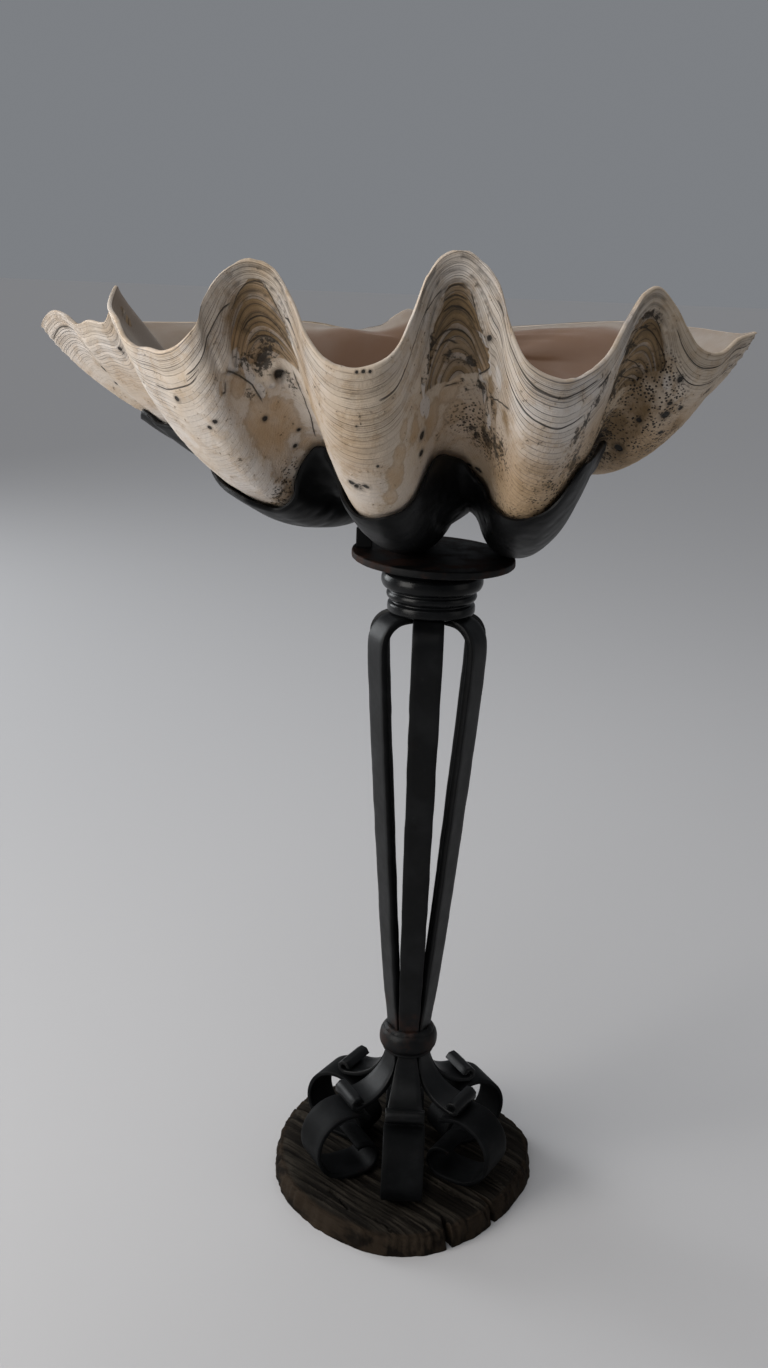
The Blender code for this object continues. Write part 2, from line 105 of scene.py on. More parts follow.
# The bars' outer face: height, radius and width, top to neck
BAR_PROFILE = [
    (551, 53.9, 28.0), (475, 48.8, 27.0), (400, 42.4, 26.0), (345, 37.6, 25.2), (293, 32.9, 24.2),
    (250, 28.9, 23.2), (207, 24.3, 21.6), (178, 20.4, 20.2), (164, 19.1, 19.0), (153, 19.0, 18.2),
    (143, 19.8, NECK_WIDTH),
]
BAR_TOP_BEND = 25
BAR_TOP_Z = 582.6
BAR_TOP_END_R = 17
RAMP_CENTRE = (64.5, 143)
RAMP_REACH = 44.5
RAMP_DROP = 42.5
RAMP_SWEEP_DEGREES = 88
RAMP_END_THICKNESS = 4.4
RAMP_END_WIDTH = 37.5
ROLL_RADIUS = 5.3
BAR_SIDE_GAP = 0.7
# Rust at the neck: its middle and how far it reaches up and down, in metres
NECK_RUST_HEIGHT = 0.172
NECK_RUST_REACH = 0.05
STRAP_THICKNESS = 4.5
STRAP_WIDTH = 39.5
BAR_CORNER = 1.1
STRAP_CORNER = 1.2
BAR_ROWS = 210
STRAP_ROWS = 150
HOOP_CENTRE = (70, 59.3)
HOOP_RADIUS = 35.2
CURL_CENTRE_R = 54.5
CURL_RADIUS = 17
# Where the hoop and its curl begin and end on their circles, in degrees
HOOP_ENDS = (128, -90)
CURL_ENDS = (-90, -300)
# Profiles turned about the column's axis: radius and height
NECK_RING_PROFILE = [
    (22.9, 165.6), (24.8, 164.8), (26.8, 162.0), (27.9, 158.0), (28.2, 153.5), (27.6, 149.6), (26.0, 146.8),
    (24.6, 145.6), (24.9, 143.8), (24.1, 142.6), (23.0, 142.8), (22.6, 153.0),
]
# A lumpy weld that closes the gap between the bars and the ring
NECK_WELD_PROFILE = [(16.5, 160), (23.6, 160), (24.6, 163.5), (23.6, 166.6), (21.2, 168.8), (18.0, 168.0)]
COLLAR_PROFILE = [
    (39.5, 631.0), (40.0, 620.5), (43.6, 618.6), (45.2, 614.6), (45.2, 610.0), (43.2, 606.0), (39.2, 604.2),
    (38.6, 603.0), (39.9, 601.2), (40.4, 598.6), (39.0, 595.8), (36.6, 594.6), (36.2, 593.2), (38.6, 591.4),
    (39.2, 588.6), (38.8, 584.2), (37.4, 583.2),
]
PLATE_RADIUS = 72.5
PLATE_THICKNESS = 6.6
PLATE_CORNER = 1.5
PLATE_RIM_FROM = 66
PLATE_TOP_Z = 636
PLATE_SLOPE_X = math.tan(math.radians(-1.57))
PLATE_SLOPE_Y = math.tan(math.radians(1.45))

# The shell's margin, in millimetres: from the left end along the front, and back behind the hinge
MARGIN = np.array([
    (-367, 85, 811), (-354, 68, 826), (-339, 55, 824), (-326, 45, 817), (-312, 30, 821), (-291, 8, 822),
    (-278, -12, 852), (-279, -30, 837), (-268, -52, 827), (-257, -74, 815), (-244, -94, 810),
    (-229, -112, 809), (-216, -126, 808), (-203, -138, 813), (-194, -146, 820), (-184, -148, 833),
    (-180, -143, 850), (-167, -134, 869), (-150, -128, 878), (-133, -132, 874), (-114, -158, 851),
    (-99, -184, 826), (-84, -196, 812), (-64, -202, 807), (-46, -200, 811), (-34, -192, 820),
    (-23, -176, 844), (-13, -162, 873), (-2, -156, 887), (11, -154, 891), (27, -158, 881),
    (37, -164, 868), (47, -176, 839), (62, -190, 814), (88, -187, 804), (111, -168, 812),
    (125, -145, 823), (139, -118, 845), (154, -94, 865), (165, -84, 869), (178, -82, 857),
    (189, -82, 840), (201, -72, 826), (215, -58, 820), (228, -42, 821), (244, -16, 830),
    (266, 25, 834), (261, 62, 831), (228, 130, 832), (176, 172, 833), (122, 188, 829), (65, 194, 823),
    (-5, 196, 819), (-35, 196, 836), (-49, 196, 830), (-89, 196, 817), (-145, 194, 820),
    (-249, 176, 816), (-309, 150, 815), (-348, 112, 813),
], dtype=float)
UMBO = np.array((50.0, 172.0, 785.0))
HINGE_PLATE = np.array((0.0, -24.0, 16.0))
GROWTH_TURN = math.radians(88.0)
GROWTH_CURL = 1.27
STIFF_BACK_FROM = 110
STIFF_BACK_OVER = 70
STIFF_BACK_SHARE = 0.92
BELLY_DEPTH = 56
BELLY_FROM = 130
BELLY_OVER = 200
EDGE_WALL = 4.5
MARGIN_WALL = 9
FLOOR_WALL = 14
HINGE_WALL = 14
HINGE_WALL_FROM = 120
HINGE_WALL_OVER = 60
# Notches of the back margin beside the hinge: place along the stand's width, half width and drop
HINGE_NOTCHES = [(-90.0, 13.0, 8.0), (-66.0, 10.0, 11.0)]
# Half the share of the margin over which its folds are averaged out
FOLD_REACH = 7 / 94
MARGIN_POINTS = 1128
FRONT_END = 0.62
FRONT_COLUMNS = 500
BACK_COLUMNS = 116
# Growth turns of the mesh's rows, from the lip down the outside and down the inside
LIP_TURN = 0.004
OUTER_TURNS = np.concatenate([[LIP_TURN], np.linspace(0.011, 0.5, 94), np.linspace(0.52, 0.97, 20)])
INNER_TURNS = np.concatenate([[LIP_TURN], np.linspace(0.02, 0.3, 12), np.linspace(0.34, 0.96, 14)])
# Rows across the rounded lip, as shares of the way from the outside to the inside
LIP_PARTS = (0.16, 0.38, 0.62, 0.84)
# Columns to each side over which narrow dips of the inside are filled, and how often
FILL_REACH = 14
FILL_ROUNDS = 4
# Grooves of the outside, as shares of the margin's length, and how far growth lines climb in them
GROOVES = (0.081, 0.2140, 0.3560, 0.5040)
ARCH_HALF = 0.019
ARCH_LIFT = 0.05
# Growth turns from one ledge to the next: on the ribs, in the grooves and at the torn right end
RIB_STEP = 0.021
GROOVE_STEP = 0.036
TORN_STEP = 0.013
TORN_FROM = 0.555
# Rows of the outside that tell which way it faces
FACING_ROWS = 70

# Cradle: where its edges cross the shell, as a share of the margin's length and a growth turn
CRADLE_TOP = [
    (0.0, 0.30), (0.03, 0.265), (0.08, 0.31), (0.125, 0.30), (0.157, 0.295), (0.168, 0.34), (0.182, 0.35),
    (0.21, 0.335), (0.245, 0.30), (0.275, 0.26), (0.292, 0.235), (0.31, 0.24), (0.33, 0.245), (0.342, 0.28),
    (0.352, 0.325), (0.368, 0.37), (0.388, 0.345), (0.41, 0.265), (0.421, 0.235), (0.432, 0.205),
    (0.446, 0.155), (0.463, 0.19), (0.49, 0.29), (0.515, 0.37),
]
CRADLE_BOTTOM = [(0.0, 0.40), (0.08, 0.50), (0.157, 0.60), (0.289, 0.66), (0.425, 0.66), (0.515, 0.56)]
CRADLE_END = 0.5106
CRADLE_SPARE = 2 / 94
CRADLE_COLUMNS = 470
CRADLE_ROWS = 64
CRADLE_STANDOFF = 1.6
CRADLE_THICKNESS = 4.5
CRADLE_ROUNDED_ROWS = 1.5
CRADLE_GROOVE_FILL = 38
CRADLE_FILL_AT_TOP = 0.15
FOLD_START = -6
FOLD_OVER = 24
# How far the sheet hangs from the shell low down: share of the margin, and millimetres
CRADLE_HANG = [(0.20, 5.5), (0.27, 0), (0.31, 0), (0.38, 5.5), (0.44, 8.5), (0.515, 2)]
PLATE_CLEARANCE = 4
MIDDLE_RIB = 0.289

# The camera, as the photograph was taken: metres, degrees, millimetres for the sensor, and pixels
CAMERA_EYE = (0.0, -1.2, 0.8794)
CAMERA_PITCH = 16.975
CAMERA_YAW = -1.869
CAMERA_ROLL = 2.27
CAMERA_SENSOR = 36.0
FOCAL_PIXELS = 1383.5
PICTURE_HEIGHT_PIXELS = 1368
# Colours of the lights
WARM_WHITE = (1.0, 0.97, 0.93)
COOL_WHITE = (0.95, 0.98, 1.0)
WHITE = (1.0, 1.0, 1.0)
# The soft sun's turn and apparent width, in degrees, and the floor's reach in metres
SUN_TILT = 36
SUN_TURN = -50
SUN_SPREAD = 60
FLOOR_REACH = 40.0

# Marks of the shell's outside: share of the margin, growth turn, reach along, reach down, strength
# The dark patches are partly stain and partly painted shade in the sunk hollows and holes listed under LUMPS
DARK_PATCHES = [
    (0.472, 0.17, 0.006, 0.07, 0.62), (0.442, 0.15, 0.005, 0.06, 0.6), (0.44, 0.25, 0.005, 0.06, 0.56),
    (0.2104, 0.152, 0.005, 0.016, 1.0), (0.206, 0.13, 0.005, 0.014, 0.7),
    (0.215, 0.13, 0.004, 0.022, 0.7), (0.22, 0.195, 0.003, 0.03, 0.6),
    (0.216, 0.177, 0.0026, 0.009, 0.75), (0.2, 0.172, 0.0024, 0.008, 0.7),
    (0.3528, 0.143, 0.0026, 0.01, 1.0), (0.3625, 0.152, 0.0034, 0.012, 1.0),
    (0.345, 0.108, 0.0026, 0.022, 0.95), (0.34, 0.118, 0.003, 0.018, 0.9),
    (0.333, 0.118, 0.0034, 0.01, 0.8), (0.367, 0.176, 0.0036, 0.01, 0.9),
    (0.36, 0.19, 0.004, 0.012, 0.55), (0.3569, 0.047, 0.003, 0.004, 0.5),
    (0.374, 0.19, 0.003, 0.02, 0.75), (0.364, 0.262, 0.007, 0.018, 0.8),
    (0.374, 0.248, 0.007, 0.018, 0.95), (0.385, 0.215, 0.007, 0.02, 0.85),
    (0.394, 0.18, 0.006, 0.016, 0.7), (0.379, 0.165, 0.003, 0.02, 0.7),
    (0.386, 0.14, 0.003, 0.018, 0.6), (0.5035, 0.05, 0.005, 0.009, 1.0),
    (0.4944, 0.095, 0.0044, 0.014, 0.95), (0.501, 0.073, 0.006, 0.005, 0.9),
    (0.4965, 0.128, 0.004, 0.008, 0.8), (0.4951, 0.155, 0.0056, 0.014, 1.0),
    (0.492, 0.175, 0.006, 0.024, 0.95), (0.487, 0.2, 0.006, 0.034, 0.85),
    (0.48, 0.172, 0.004, 0.014, 0.8), (0.496, 0.27, 0.007, 0.05, 0.85),
    (0.501, 0.335, 0.008, 0.04, 0.95), (0.508, 0.395, 0.01, 0.04, 0.8),
    (0.512, 0.15, 0.005, 0.014, 0.6), (0.5847, 0.13, 0.005, 0.01, 0.95),
    (0.57, 0.112, 0.008, 0.006, 0.9), (0.5569, 0.103, 0.005, 0.005, 0.75),
    (0.457, 0.05, 0.004, 0.012, 0.8), (0.451, 0.062, 0.004, 0.012, 0.8),
    (0.444, 0.076, 0.004, 0.014, 0.75), (0.438, 0.092, 0.004, 0.014, 0.65),
    (0.453, 0.15, 0.006, 0.01, 0.4), (0.178, 0.33, 0.01, 0.016, 0.6), (0.125, 0.078, 0.002, 0.01, 0.7),
]
OCHRE_PATCHES = [
    (0.47, 0.19, 0.012, 0.09, 0.85), (0.436, 0.24, 0.012, 0.09, 0.62), (0.425, 0.34, 0.02, 0.06, 0.6),
    (0.209, 0.075, 0.01, 0.045, 0.95), (0.216, 0.11, 0.006, 0.05, 0.8),
    (0.356, 0.085, 0.01, 0.045, 0.9), (0.3785, 0.135, 0.0036, 0.012, 0.9),
    (0.382, 0.16, 0.005, 0.03, 0.7), (0.396, 0.128, 0.006, 0.016, 0.6),
    (0.5035, 0.09, 0.009, 0.04, 1.0), (0.508, 0.135, 0.011, 0.035, 0.9),
    (0.512, 0.21, 0.014, 0.06, 0.75), (0.506, 0.3, 0.016, 0.06, 0.85), (0.527, 0.33, 0.018, 0.05, 0.7),
    (0.538, 0.28, 0.012, 0.05, 0.65), (0.545, 0.19, 0.012, 0.04, 0.55), (0.488, 0.24, 0.01, 0.06, 0.65),
    (0.46, 0.2, 0.01, 0.04, 0.3), (0.182, 0.34, 0.014, 0.022, 0.75), (0.08, 0.15, 0.014, 0.06, 0.45),
    (0.1, 0.11, 0.01, 0.03, 0.4), (0.13, 0.09, 0.006, 0.03, 0.35), (0.185, 0.048, 0.006, 0.03, 0.45),
    (0.443, 0.18, 0.008, 0.03, 0.35),
]
# Water stains with a clear edge
TAN_PATCHES = [
    (0.3111, 0.118, 0.004, 0.016, 0.9), (0.3063, 0.143, 0.0046, 0.018, 1.0),
    (0.3028, 0.172, 0.005, 0.022, 1.0), (0.2985, 0.205, 0.0044, 0.018, 0.85),
    (0.32, 0.15, 0.006, 0.024, 0.7), (0.3528, 0.19, 0.007, 0.03, 1.0), (0.354, 0.235, 0.008, 0.03, 0.9),
    (0.34, 0.205, 0.008, 0.04, 0.8), (0.1958, 0.15, 0.0054, 0.018, 1.0),
    (0.185, 0.112, 0.0024, 0.008, 0.9), (0.198, 0.215, 0.01, 0.04, 0.85),
    (0.199, 0.26, 0.012, 0.04, 0.9), (0.194, 0.3, 0.012, 0.03, 0.9), (0.21, 0.25, 0.008, 0.05, 0.8),
    (0.215, 0.32, 0.01, 0.04, 0.7), (0.52, 0.13, 0.005, 0.02, 0.6), (0.09, 0.18, 0.012, 0.04, 0.6),
    (0.233, 0.22, 0.003, 0.04, 0.7),
]
# Dull brown ageing of the outside
AGED_PATCHES = [
    (0.285, 0.11, 0.022, 0.09, 0.7), (0.295, 0.03, 0.03, 0.05, 0.5), (0.42, 0.23, 0.03, 0.12, 1.0),
    (0.455, 0.15, 0.02, 0.09, 0.9), (0.448, 0.33, 0.03, 0.1, 0.9), (0.55, 0.18, 0.03, 0.12, 0.7),
    (0.53, 0.3, 0.04, 0.12, 0.9), (0.3, 0.26, 0.03, 0.12, 0.45), (0.25, 0.15, 0.016, 0.16, 0.85),
    (0.27, 0.09, 0.02, 0.08, 0.5), (0.06, 0.18, 0.05, 0.1, 0.6), (0.15, 0.36, 0.05, 0.08, 0.5),
    (0.66, 0.2, 0.06, 0.2, 0.8), (0.78, 0.25, 0.08, 0.2, 0.8), (0.92, 0.2, 0.06, 0.2, 0.8),
    (0.5, 0.6, 0.5, 0.16, 0.7), (0.33, 0.11, 0.01, 0.09, 0.5), (0.395, 0.1, 0.01, 0.07, 0.55),
]
WHITE_PATCHES = [
    (0.1979, 0.115, 0.005, 0.012, 1.0), (0.2035, 0.15, 0.0022, 0.024, 1.0),
    (0.205, 0.185, 0.002, 0.014, 0.9), (0.211, 0.188, 0.003, 0.006, 0.8),
    (0.3326, 0.145, 0.0044, 0.018, 1.0), (0.336, 0.17, 0.003, 0.016, 0.9),
    (0.369, 0.101, 0.005, 0.006, 0.9), (0.375, 0.118, 0.0026, 0.014, 0.95),
    (0.368, 0.155, 0.004, 0.007, 0.95), (0.384, 0.108, 0.005, 0.014, 0.85),
    (0.37, 0.184, 0.002, 0.016, 0.85), (0.376, 0.205, 0.0016, 0.02, 0.85),
    (0.23, 0.11, 0.006, 0.03, 0.6), (0.523, 0.12, 0.007, 0.03, 0.55),
]
SPECKLED_PATCHES = [
    (0.436, 0.23, 0.014, 0.09, 0.95), (0.422, 0.32, 0.026, 0.07, 0.9), (0.525, 0.125, 0.012, 0.05, 1.0),
    (0.518, 0.18, 0.014, 0.05, 1.0), (0.518, 0.26, 0.018, 0.07, 1.0), (0.508, 0.36, 0.02, 0.06, 0.9),
    (0.54, 0.24, 0.016, 0.06, 0.8), (0.483, 0.24, 0.011, 0.06, 0.9), (0.456, 0.19, 0.014, 0.05, 0.75),
    (0.37, 0.25, 0.016, 0.04, 0.85), (0.182, 0.338, 0.016, 0.026, 0.95), (0.396, 0.2, 0.012, 0.05, 0.5),
    (0.44, 0.23, 0.012, 0.06, 0.5),
]
STAINS = {
    "dark": DARK_PATCHES, "ochre": OCHRE_PATCHES, "tan": TAN_PATCHES, "aged": AGED_PATCHES,
    "white": WHITE_PATCHES, "speckled": SPECKLED_PATCHES,
}
# Boreholes: share of the margin, growth turn, radius in millimetres
PITS = [
    (0.2007, 0.225, 2.3), (0.2403, 0.15, 2.2), (0.1569, 0.077, 2.4), (0.1743, 0.133, 1.9),
    (0.1694, 0.135, 1.9), (0.2056, 0.31, 2.0), (0.2847, 0.178, 1.7), (0.2118, 0.288, 1.7),
    (0.3736, 0.085, 2.2), (0.5299, 0.085, 2.7), (0.5306, 0.138, 2.3), (0.5396, 0.133, 2.2),
    (0.5319, 0.163, 3.7), (0.5174, 0.23, 2.4), (0.5368, 0.205, 2.2), (0.5174, 0.325, 3.8),
    (0.2951, 0.14, 1.2), (0.3611, 0.367, 2.2), (0.3681, 0.357, 3.2), (0.3271, 0.185, 3.4),
    (0.3243, 0.208, 2.8), (0.2889, 0.077, 1.2), (0.2806, 0.18, 2.6), (0.2828, 0.184, 2.6),
    (0.285, 0.184, 2.6), (0.2875, 0.178, 3.0), (0.0611, 0.072, 2.6), (0.0611, 0.08, 2.2),
    (0.016, 0.208, 2.0), (0.1264, 0.07, 1.7), (0.09, 0.205, 1.9), (0.104, 0.17, 1.6),
    (0.115, 0.235, 2.0), (0.132, 0.19, 1.6), (0.3528, 0.143, 3.4), (0.216, 0.177, 4.4),
    (0.291, 0.006, 1.2), (0.2935, 0.006, 1.4), (0.296, 0.008, 1.2), (0.024, 0.15, 3.0),
]
# Long dark growth lines: first and last share, growth turn
LONG_LINES = [
    (0.144, 0.174, 0.061), (0.378, 0.446, 0.024), (0.518, 0.6, 0.036), (0.3, 0.35, 0.046),
    (0.225, 0.248, 0.06), (0.45, 0.488, 0.04), (0.17, 0.205, 0.048), (0.525, 0.575, 0.075),
    (0.386, 0.44, 0.066),
]
# Creases of painted shade, as shares of the margin and growth turns: the edges of the hollows and arches
# inside them
CREASES = [
    [(0.2205, 0.035), (0.2229, 0.058), (0.225, 0.077), (0.2292, 0.098), (0.232, 0.125), (0.2335, 0.15)],
    [(0.2243, 0.165), (0.2243, 0.212), (0.2222, 0.258), (0.2174, 0.31)],
    [(0.1924, 0.11), (0.196, 0.125), (0.1993, 0.143), (0.2028, 0.168), (0.2036, 0.198)],
    [(0.2062, 0.058), (0.2097, 0.045), (0.2139, 0.035),
     (0.2174, 0.033), (0.2201, 0.035), (0.2215, 0.05)],
    [(0.2083, 0.095), (0.2111, 0.088), (0.2153, 0.085),
     (0.2181, 0.088), (0.2208, 0.098), (0.225, 0.125)],
    [(0.2085, 0.118), (0.2132, 0.115), (0.2167, 0.118),
     (0.2194, 0.128), (0.2208, 0.143), (0.2229, 0.15)],
    [(0.3618, 0.055), (0.3639, 0.072), (0.3667, 0.088), (0.3701, 0.098),
     (0.3757, 0.115), (0.3722, 0.135), (0.366, 0.16)],
    [(0.3515, 0.072), (0.3472, 0.082), (0.3458, 0.095),
     (0.3438, 0.113), (0.3396, 0.128), (0.334, 0.14)],
    [(0.3451, 0.115), (0.3486, 0.107), (0.3528, 0.105),
     (0.3576, 0.11), (0.3625, 0.12), (0.3646, 0.135)],
    [(0.3479, 0.126), (0.35, 0.119), (0.3535, 0.12), (0.3565, 0.128)],
    [(0.3521, 0.052), (0.3542, 0.048), (0.3576, 0.048), (0.3597, 0.052)],
    [(0.3518, 0.063), (0.3563, 0.061), (0.36, 0.067)],
    [(0.3514, 0.078), (0.3549, 0.075), (0.359, 0.08), (0.3632, 0.09)],
    [(0.35, 0.178), (0.3563, 0.186)],
    [(0.366, 0.166), (0.368, 0.176), (0.37, 0.196)],
    [(0.3701, 0.16), (0.3735, 0.172), (0.3757, 0.19)],
    [(0.377, 0.15), (0.383, 0.142), (0.39, 0.122), (0.399, 0.1)],
    [(0.4819, 0.066), (0.4875, 0.06), (0.4944, 0.065), (0.5, 0.07),
     (0.5049, 0.08), (0.5132, 0.092), (0.5167, 0.1)],
    [(0.5167, 0.098), (0.5174, 0.108), (0.516, 0.12)],
    [(0.4847, 0.075), (0.49, 0.082), (0.4951, 0.092), (0.5, 0.105)],
    [(0.4847, 0.1), (0.4938, 0.118), (0.5021, 0.14), (0.5056, 0.152)],
    [(0.4771, 0.103), (0.4889, 0.133), (0.5014, 0.173), (0.5056, 0.18)],
    [(0.4958, 0.048), (0.4986, 0.045), (0.5021, 0.048), (0.5062, 0.058), (0.509, 0.068)],
    [(0.556, 0.097), (0.564, 0.093), (0.574, 0.091), (0.584, 0.094)],
    [(0.558, 0.103), (0.57, 0.099), (0.585, 0.101)],
    [(0.002, 0.06), (0.012, 0.052), (0.025, 0.057)],
    [(0.185, 0.118), (0.1868, 0.126), (0.19, 0.122)],
]
# Hollows under the crests: growth turns with the left and right share, then shares with the turn
# where they end
HOLLOWS = [
    (
        [(0.03, 0.2145, 0.219), (0.045, 0.2097, 0.2212), (0.058, 0.2062, 0.2229), (0.077, 0.203, 0.225),
         (0.098, 0.2, 0.2292), (0.125, 0.1965, 0.232), (0.15, 0.195, 0.2335)],
        [(0.1924, 0.112), (0.2, 0.128), (0.205, 0.14), (0.21, 0.158), (0.216, 0.15), (0.2335, 0.16)],
    ),
    (
        [(0.045, 0.3535, 0.3585), (0.055, 0.3515, 0.3618), (0.072, 0.3512, 0.364),
         (0.082, 0.3472, 0.366), (0.095, 0.3458, 0.3701), (0.113, 0.3438, 0.3757),
         (0.135, 0.338, 0.3722), (0.16, 0.332, 0.366)],
        [(0.33, 0.14), (0.345, 0.165), (0.352, 0.176), (0.36, 0.172), (0.366, 0.16)],
    ),
    (
        [(0.043, 0.4975, 0.501), (0.06, 0.487, 0.5062), (0.07, 0.484, 0.51), (0.085, 0.48, 0.5132),
         (0.1, 0.478, 0.5167), (0.12, 0.474, 0.516), (0.15, 0.472, 0.509), (0.18, 0.47, 0.506)],
        [(0.47, 0.2), (0.506, 0.19), (0.5167, 0.125)],
    ),
    (
        [(0.03, 0.079, 0.083), (0.06, 0.075, 0.087), (0.12, 0.071, 0.091)],
        [(0.07, 0.1), (0.081, 0.13), (0.092, 0.1)],
    ),
]
# Millimetres of surface for the whole length of the margin and for one growth turn
MARGIN_LENGTH = 2330
TURN_LENGTH = 590
# Distance in millimetres that stands for no line near, and the least gap between creases of one group
FAR_AWAY = 60.0
CREASE_GAP = 20
# Broken ledges: edge as shares and growth turns, height in millimetres, length as a growth turn
LEDGES = [
    (
        [(0.188, 0.1), (0.195, 0.12), (0.2035, 0.155), (0.208, 0.19), (0.213, 0.186), (0.219, 0.176)],
        4.0, 0.045,
    ),
    ([(0.349, 0.102), (0.354, 0.096), (0.362, 0.098), (0.3736, 0.106), (0.379, 0.125)], 3.5, 0.04),
    ([(0.362, 0.16), (0.368, 0.158), (0.376, 0.148), (0.386, 0.15)], 3.0, 0.03),
    ([(0.494, 0.078), (0.5, 0.066), (0.508, 0.072), (0.5174, 0.094)], 2.6, 0.03),
    ([(0.325, 0.125), (0.334, 0.122), (0.341, 0.15)], 2.5, 0.03),
]
# Hollows and lumps: share of the margin, growth turn, reach along, reach down, height in millimetres
LUMPS = [
    (0.216, 0.177, 0.0058, 0.019, 3.5), (0.216, 0.177, 0.003, 0.01, -9.0),
    (0.2104, 0.15, 0.005, 0.016, -6.0), (0.1958, 0.152, 0.005, 0.016, -4.0),
    (0.2, 0.172, 0.0022, 0.008, -3.0), (0.214, 0.08, 0.008, 0.05, -5.0),
    (0.3528, 0.143, 0.005, 0.016, 2.5), (0.3528, 0.143, 0.0024, 0.008, -6.0),
    (0.3625, 0.152, 0.0034, 0.012, -6.0), (0.3528, 0.172, 0.0048, 0.012, 4.5),
    (0.345, 0.11, 0.0022, 0.03, -5.0), (0.356, 0.07, 0.009, 0.03, -5.0),
    (0.369, 0.176, 0.003, 0.012, -4.0), (0.379, 0.15, 0.0022, 0.03, 3.0),
    (0.374, 0.2, 0.0018, 0.04, 2.5), (0.366, 0.215, 0.005, 0.03, -3.0),
    (0.388, 0.16, 0.0022, 0.04, 2.0), (0.333, 0.12, 0.0026, 0.016, -3.5),
    (0.5035, 0.052, 0.006, 0.009, -5.0), (0.498, 0.078, 0.006, 0.007, -3.5),
    (0.512, 0.086, 0.005, 0.006, -3.5), (0.505, 0.1, 0.006, 0.016, 3.5),
    (0.4944, 0.095, 0.0034, 0.01, -5.0), (0.4965, 0.13, 0.004, 0.01, -4.0),
    (0.503, 0.14, 0.004, 0.014, 2.5), (0.4951, 0.155, 0.005, 0.012, -5.0),
    (0.49, 0.19, 0.005, 0.04, -5.0), (0.5, 0.29, 0.006, 0.06, -4.0),
    (0.5847, 0.132, 0.005, 0.009, -5.0), (0.57, 0.113, 0.008, 0.006, -3.5),
    (0.285, 0.183, 0.0032, 0.0045, -3.0), (0.081, 0.06, 0.006, 0.05, -3.0),
    (0.125, 0.078, 0.0024, 0.01, -3.0), (0.02, 0.06, 0.005, 0.03, -4.0),
    (0.006, 0.05, 0.003, 0.03, 2.0), (0.036, 0.06, 0.004, 0.03, 2.5),
]


def smooth_rise(x):
    """0 below 0, 1 above 1 and a smooth rise between."""
    x = np.clip(x, 0, 1)
    return x * x * (3 - 2 * x)


def side_by_side(*values):
    """Coordinates of many places from their separate values."""
    return np.stack(np.broadcast_arrays(*values), axis=-1)


def smooth_curve(points, count, closed, axes):
    """Evenly spaced points of a smooth curve. The first axes columns are places, the others go along."""
    points = np.asarray(points, dtype=float)
    total = len(points)
    if not closed:
        points = np.vstack([2 * points[:1] - points[1:2], points, 2 * points[-1:] - points[-2:-1]])
    fine = 24
    step = np.linspace(0, 1, fine, endpoint=False)[:, None]
    stretches = []
    for i in range(total if closed else total - 1):
        if closed:
            corners = [points[i - 1], points[i], points[(i + 1) % total], points[(i + 2) % total]]
        else:
            corners = [points[i], points[i + 1], points[i + 2], points[i + 3]]
        gaps = [np.linalg.norm(q[:axes] - p[:axes]) ** 0.5 for p, q in zip(corners, corners[1:])]
        knots = np.cumsum([0] + gaps)
        t = knots[1] + (knots[2] - knots[1]) * step

        def between(p, q, low, high):
            return ((knots[high] - t) * p + (t - knots[low]) * q) / (knots[high] - knots[low])

        a, b, c, d = corners
        ab, bc, cd = between(a, b, 0, 1), between(b, c, 1, 2), between(c, d, 2, 3)
        stretches.append(between(between(ab, bc, 0, 2), between(bc, cd, 1, 3), 1, 2))
    last = points[:1] if closed else points[-2:-1]
    curve = np.vstack(stretches + [last])
    along = np.concatenate([[0], np.cumsum(np.linalg.norm(np.diff(curve[:, :axes], axis=0), axis=1))])
    wanted = np.linspace(0, along[-1], count, endpoint=not closed)
    return np.stack([np.interp(wanted, along, curve[:, k]) for k in range(curve.shape[1])], axis=1)


def soft_noise(places, seed):
    """Smooth noise between -1 and 1, with about one bump per unit."""
    places = np.asarray(places, dtype=float) + 1000
    cell = np.floor(places).astype(np.int64)
    part = places - cell
    part = part * part * (3 - 2 * part)
    total = 0
    for corner in range(8):
        step = np.array([(corner >> k) & 1 for k in range(3)])
        x, y, z = np.moveaxis(cell + step, -1, 0)
        mixed = (x * 73856093) ^ (y * 19349663) ^ (z * 83492791) ^ (seed * 7919 + 13)
        mixed = ((mixed ^ (mixed >> 13)) * 1274126177) & 0xFFFFFFFF
        mixed = (mixed ^ (mixed >> 16)) & 0xFFFF
        weight = np.prod(np.where(step == 1, part, 1 - part), axis=-1)
        total = total + weight * (mixed / 32767.5 - 1)
    return total


def rough_noise(places, seed, layers=3):
    """Soft noise in several sizes, each half as large as the one before."""
    total = 0
    for k in range(layers):
        total = total + soft_noise(np.asarray(places) * 2 ** k, seed + 17 * k) / 2 ** k
    return total / 1.6


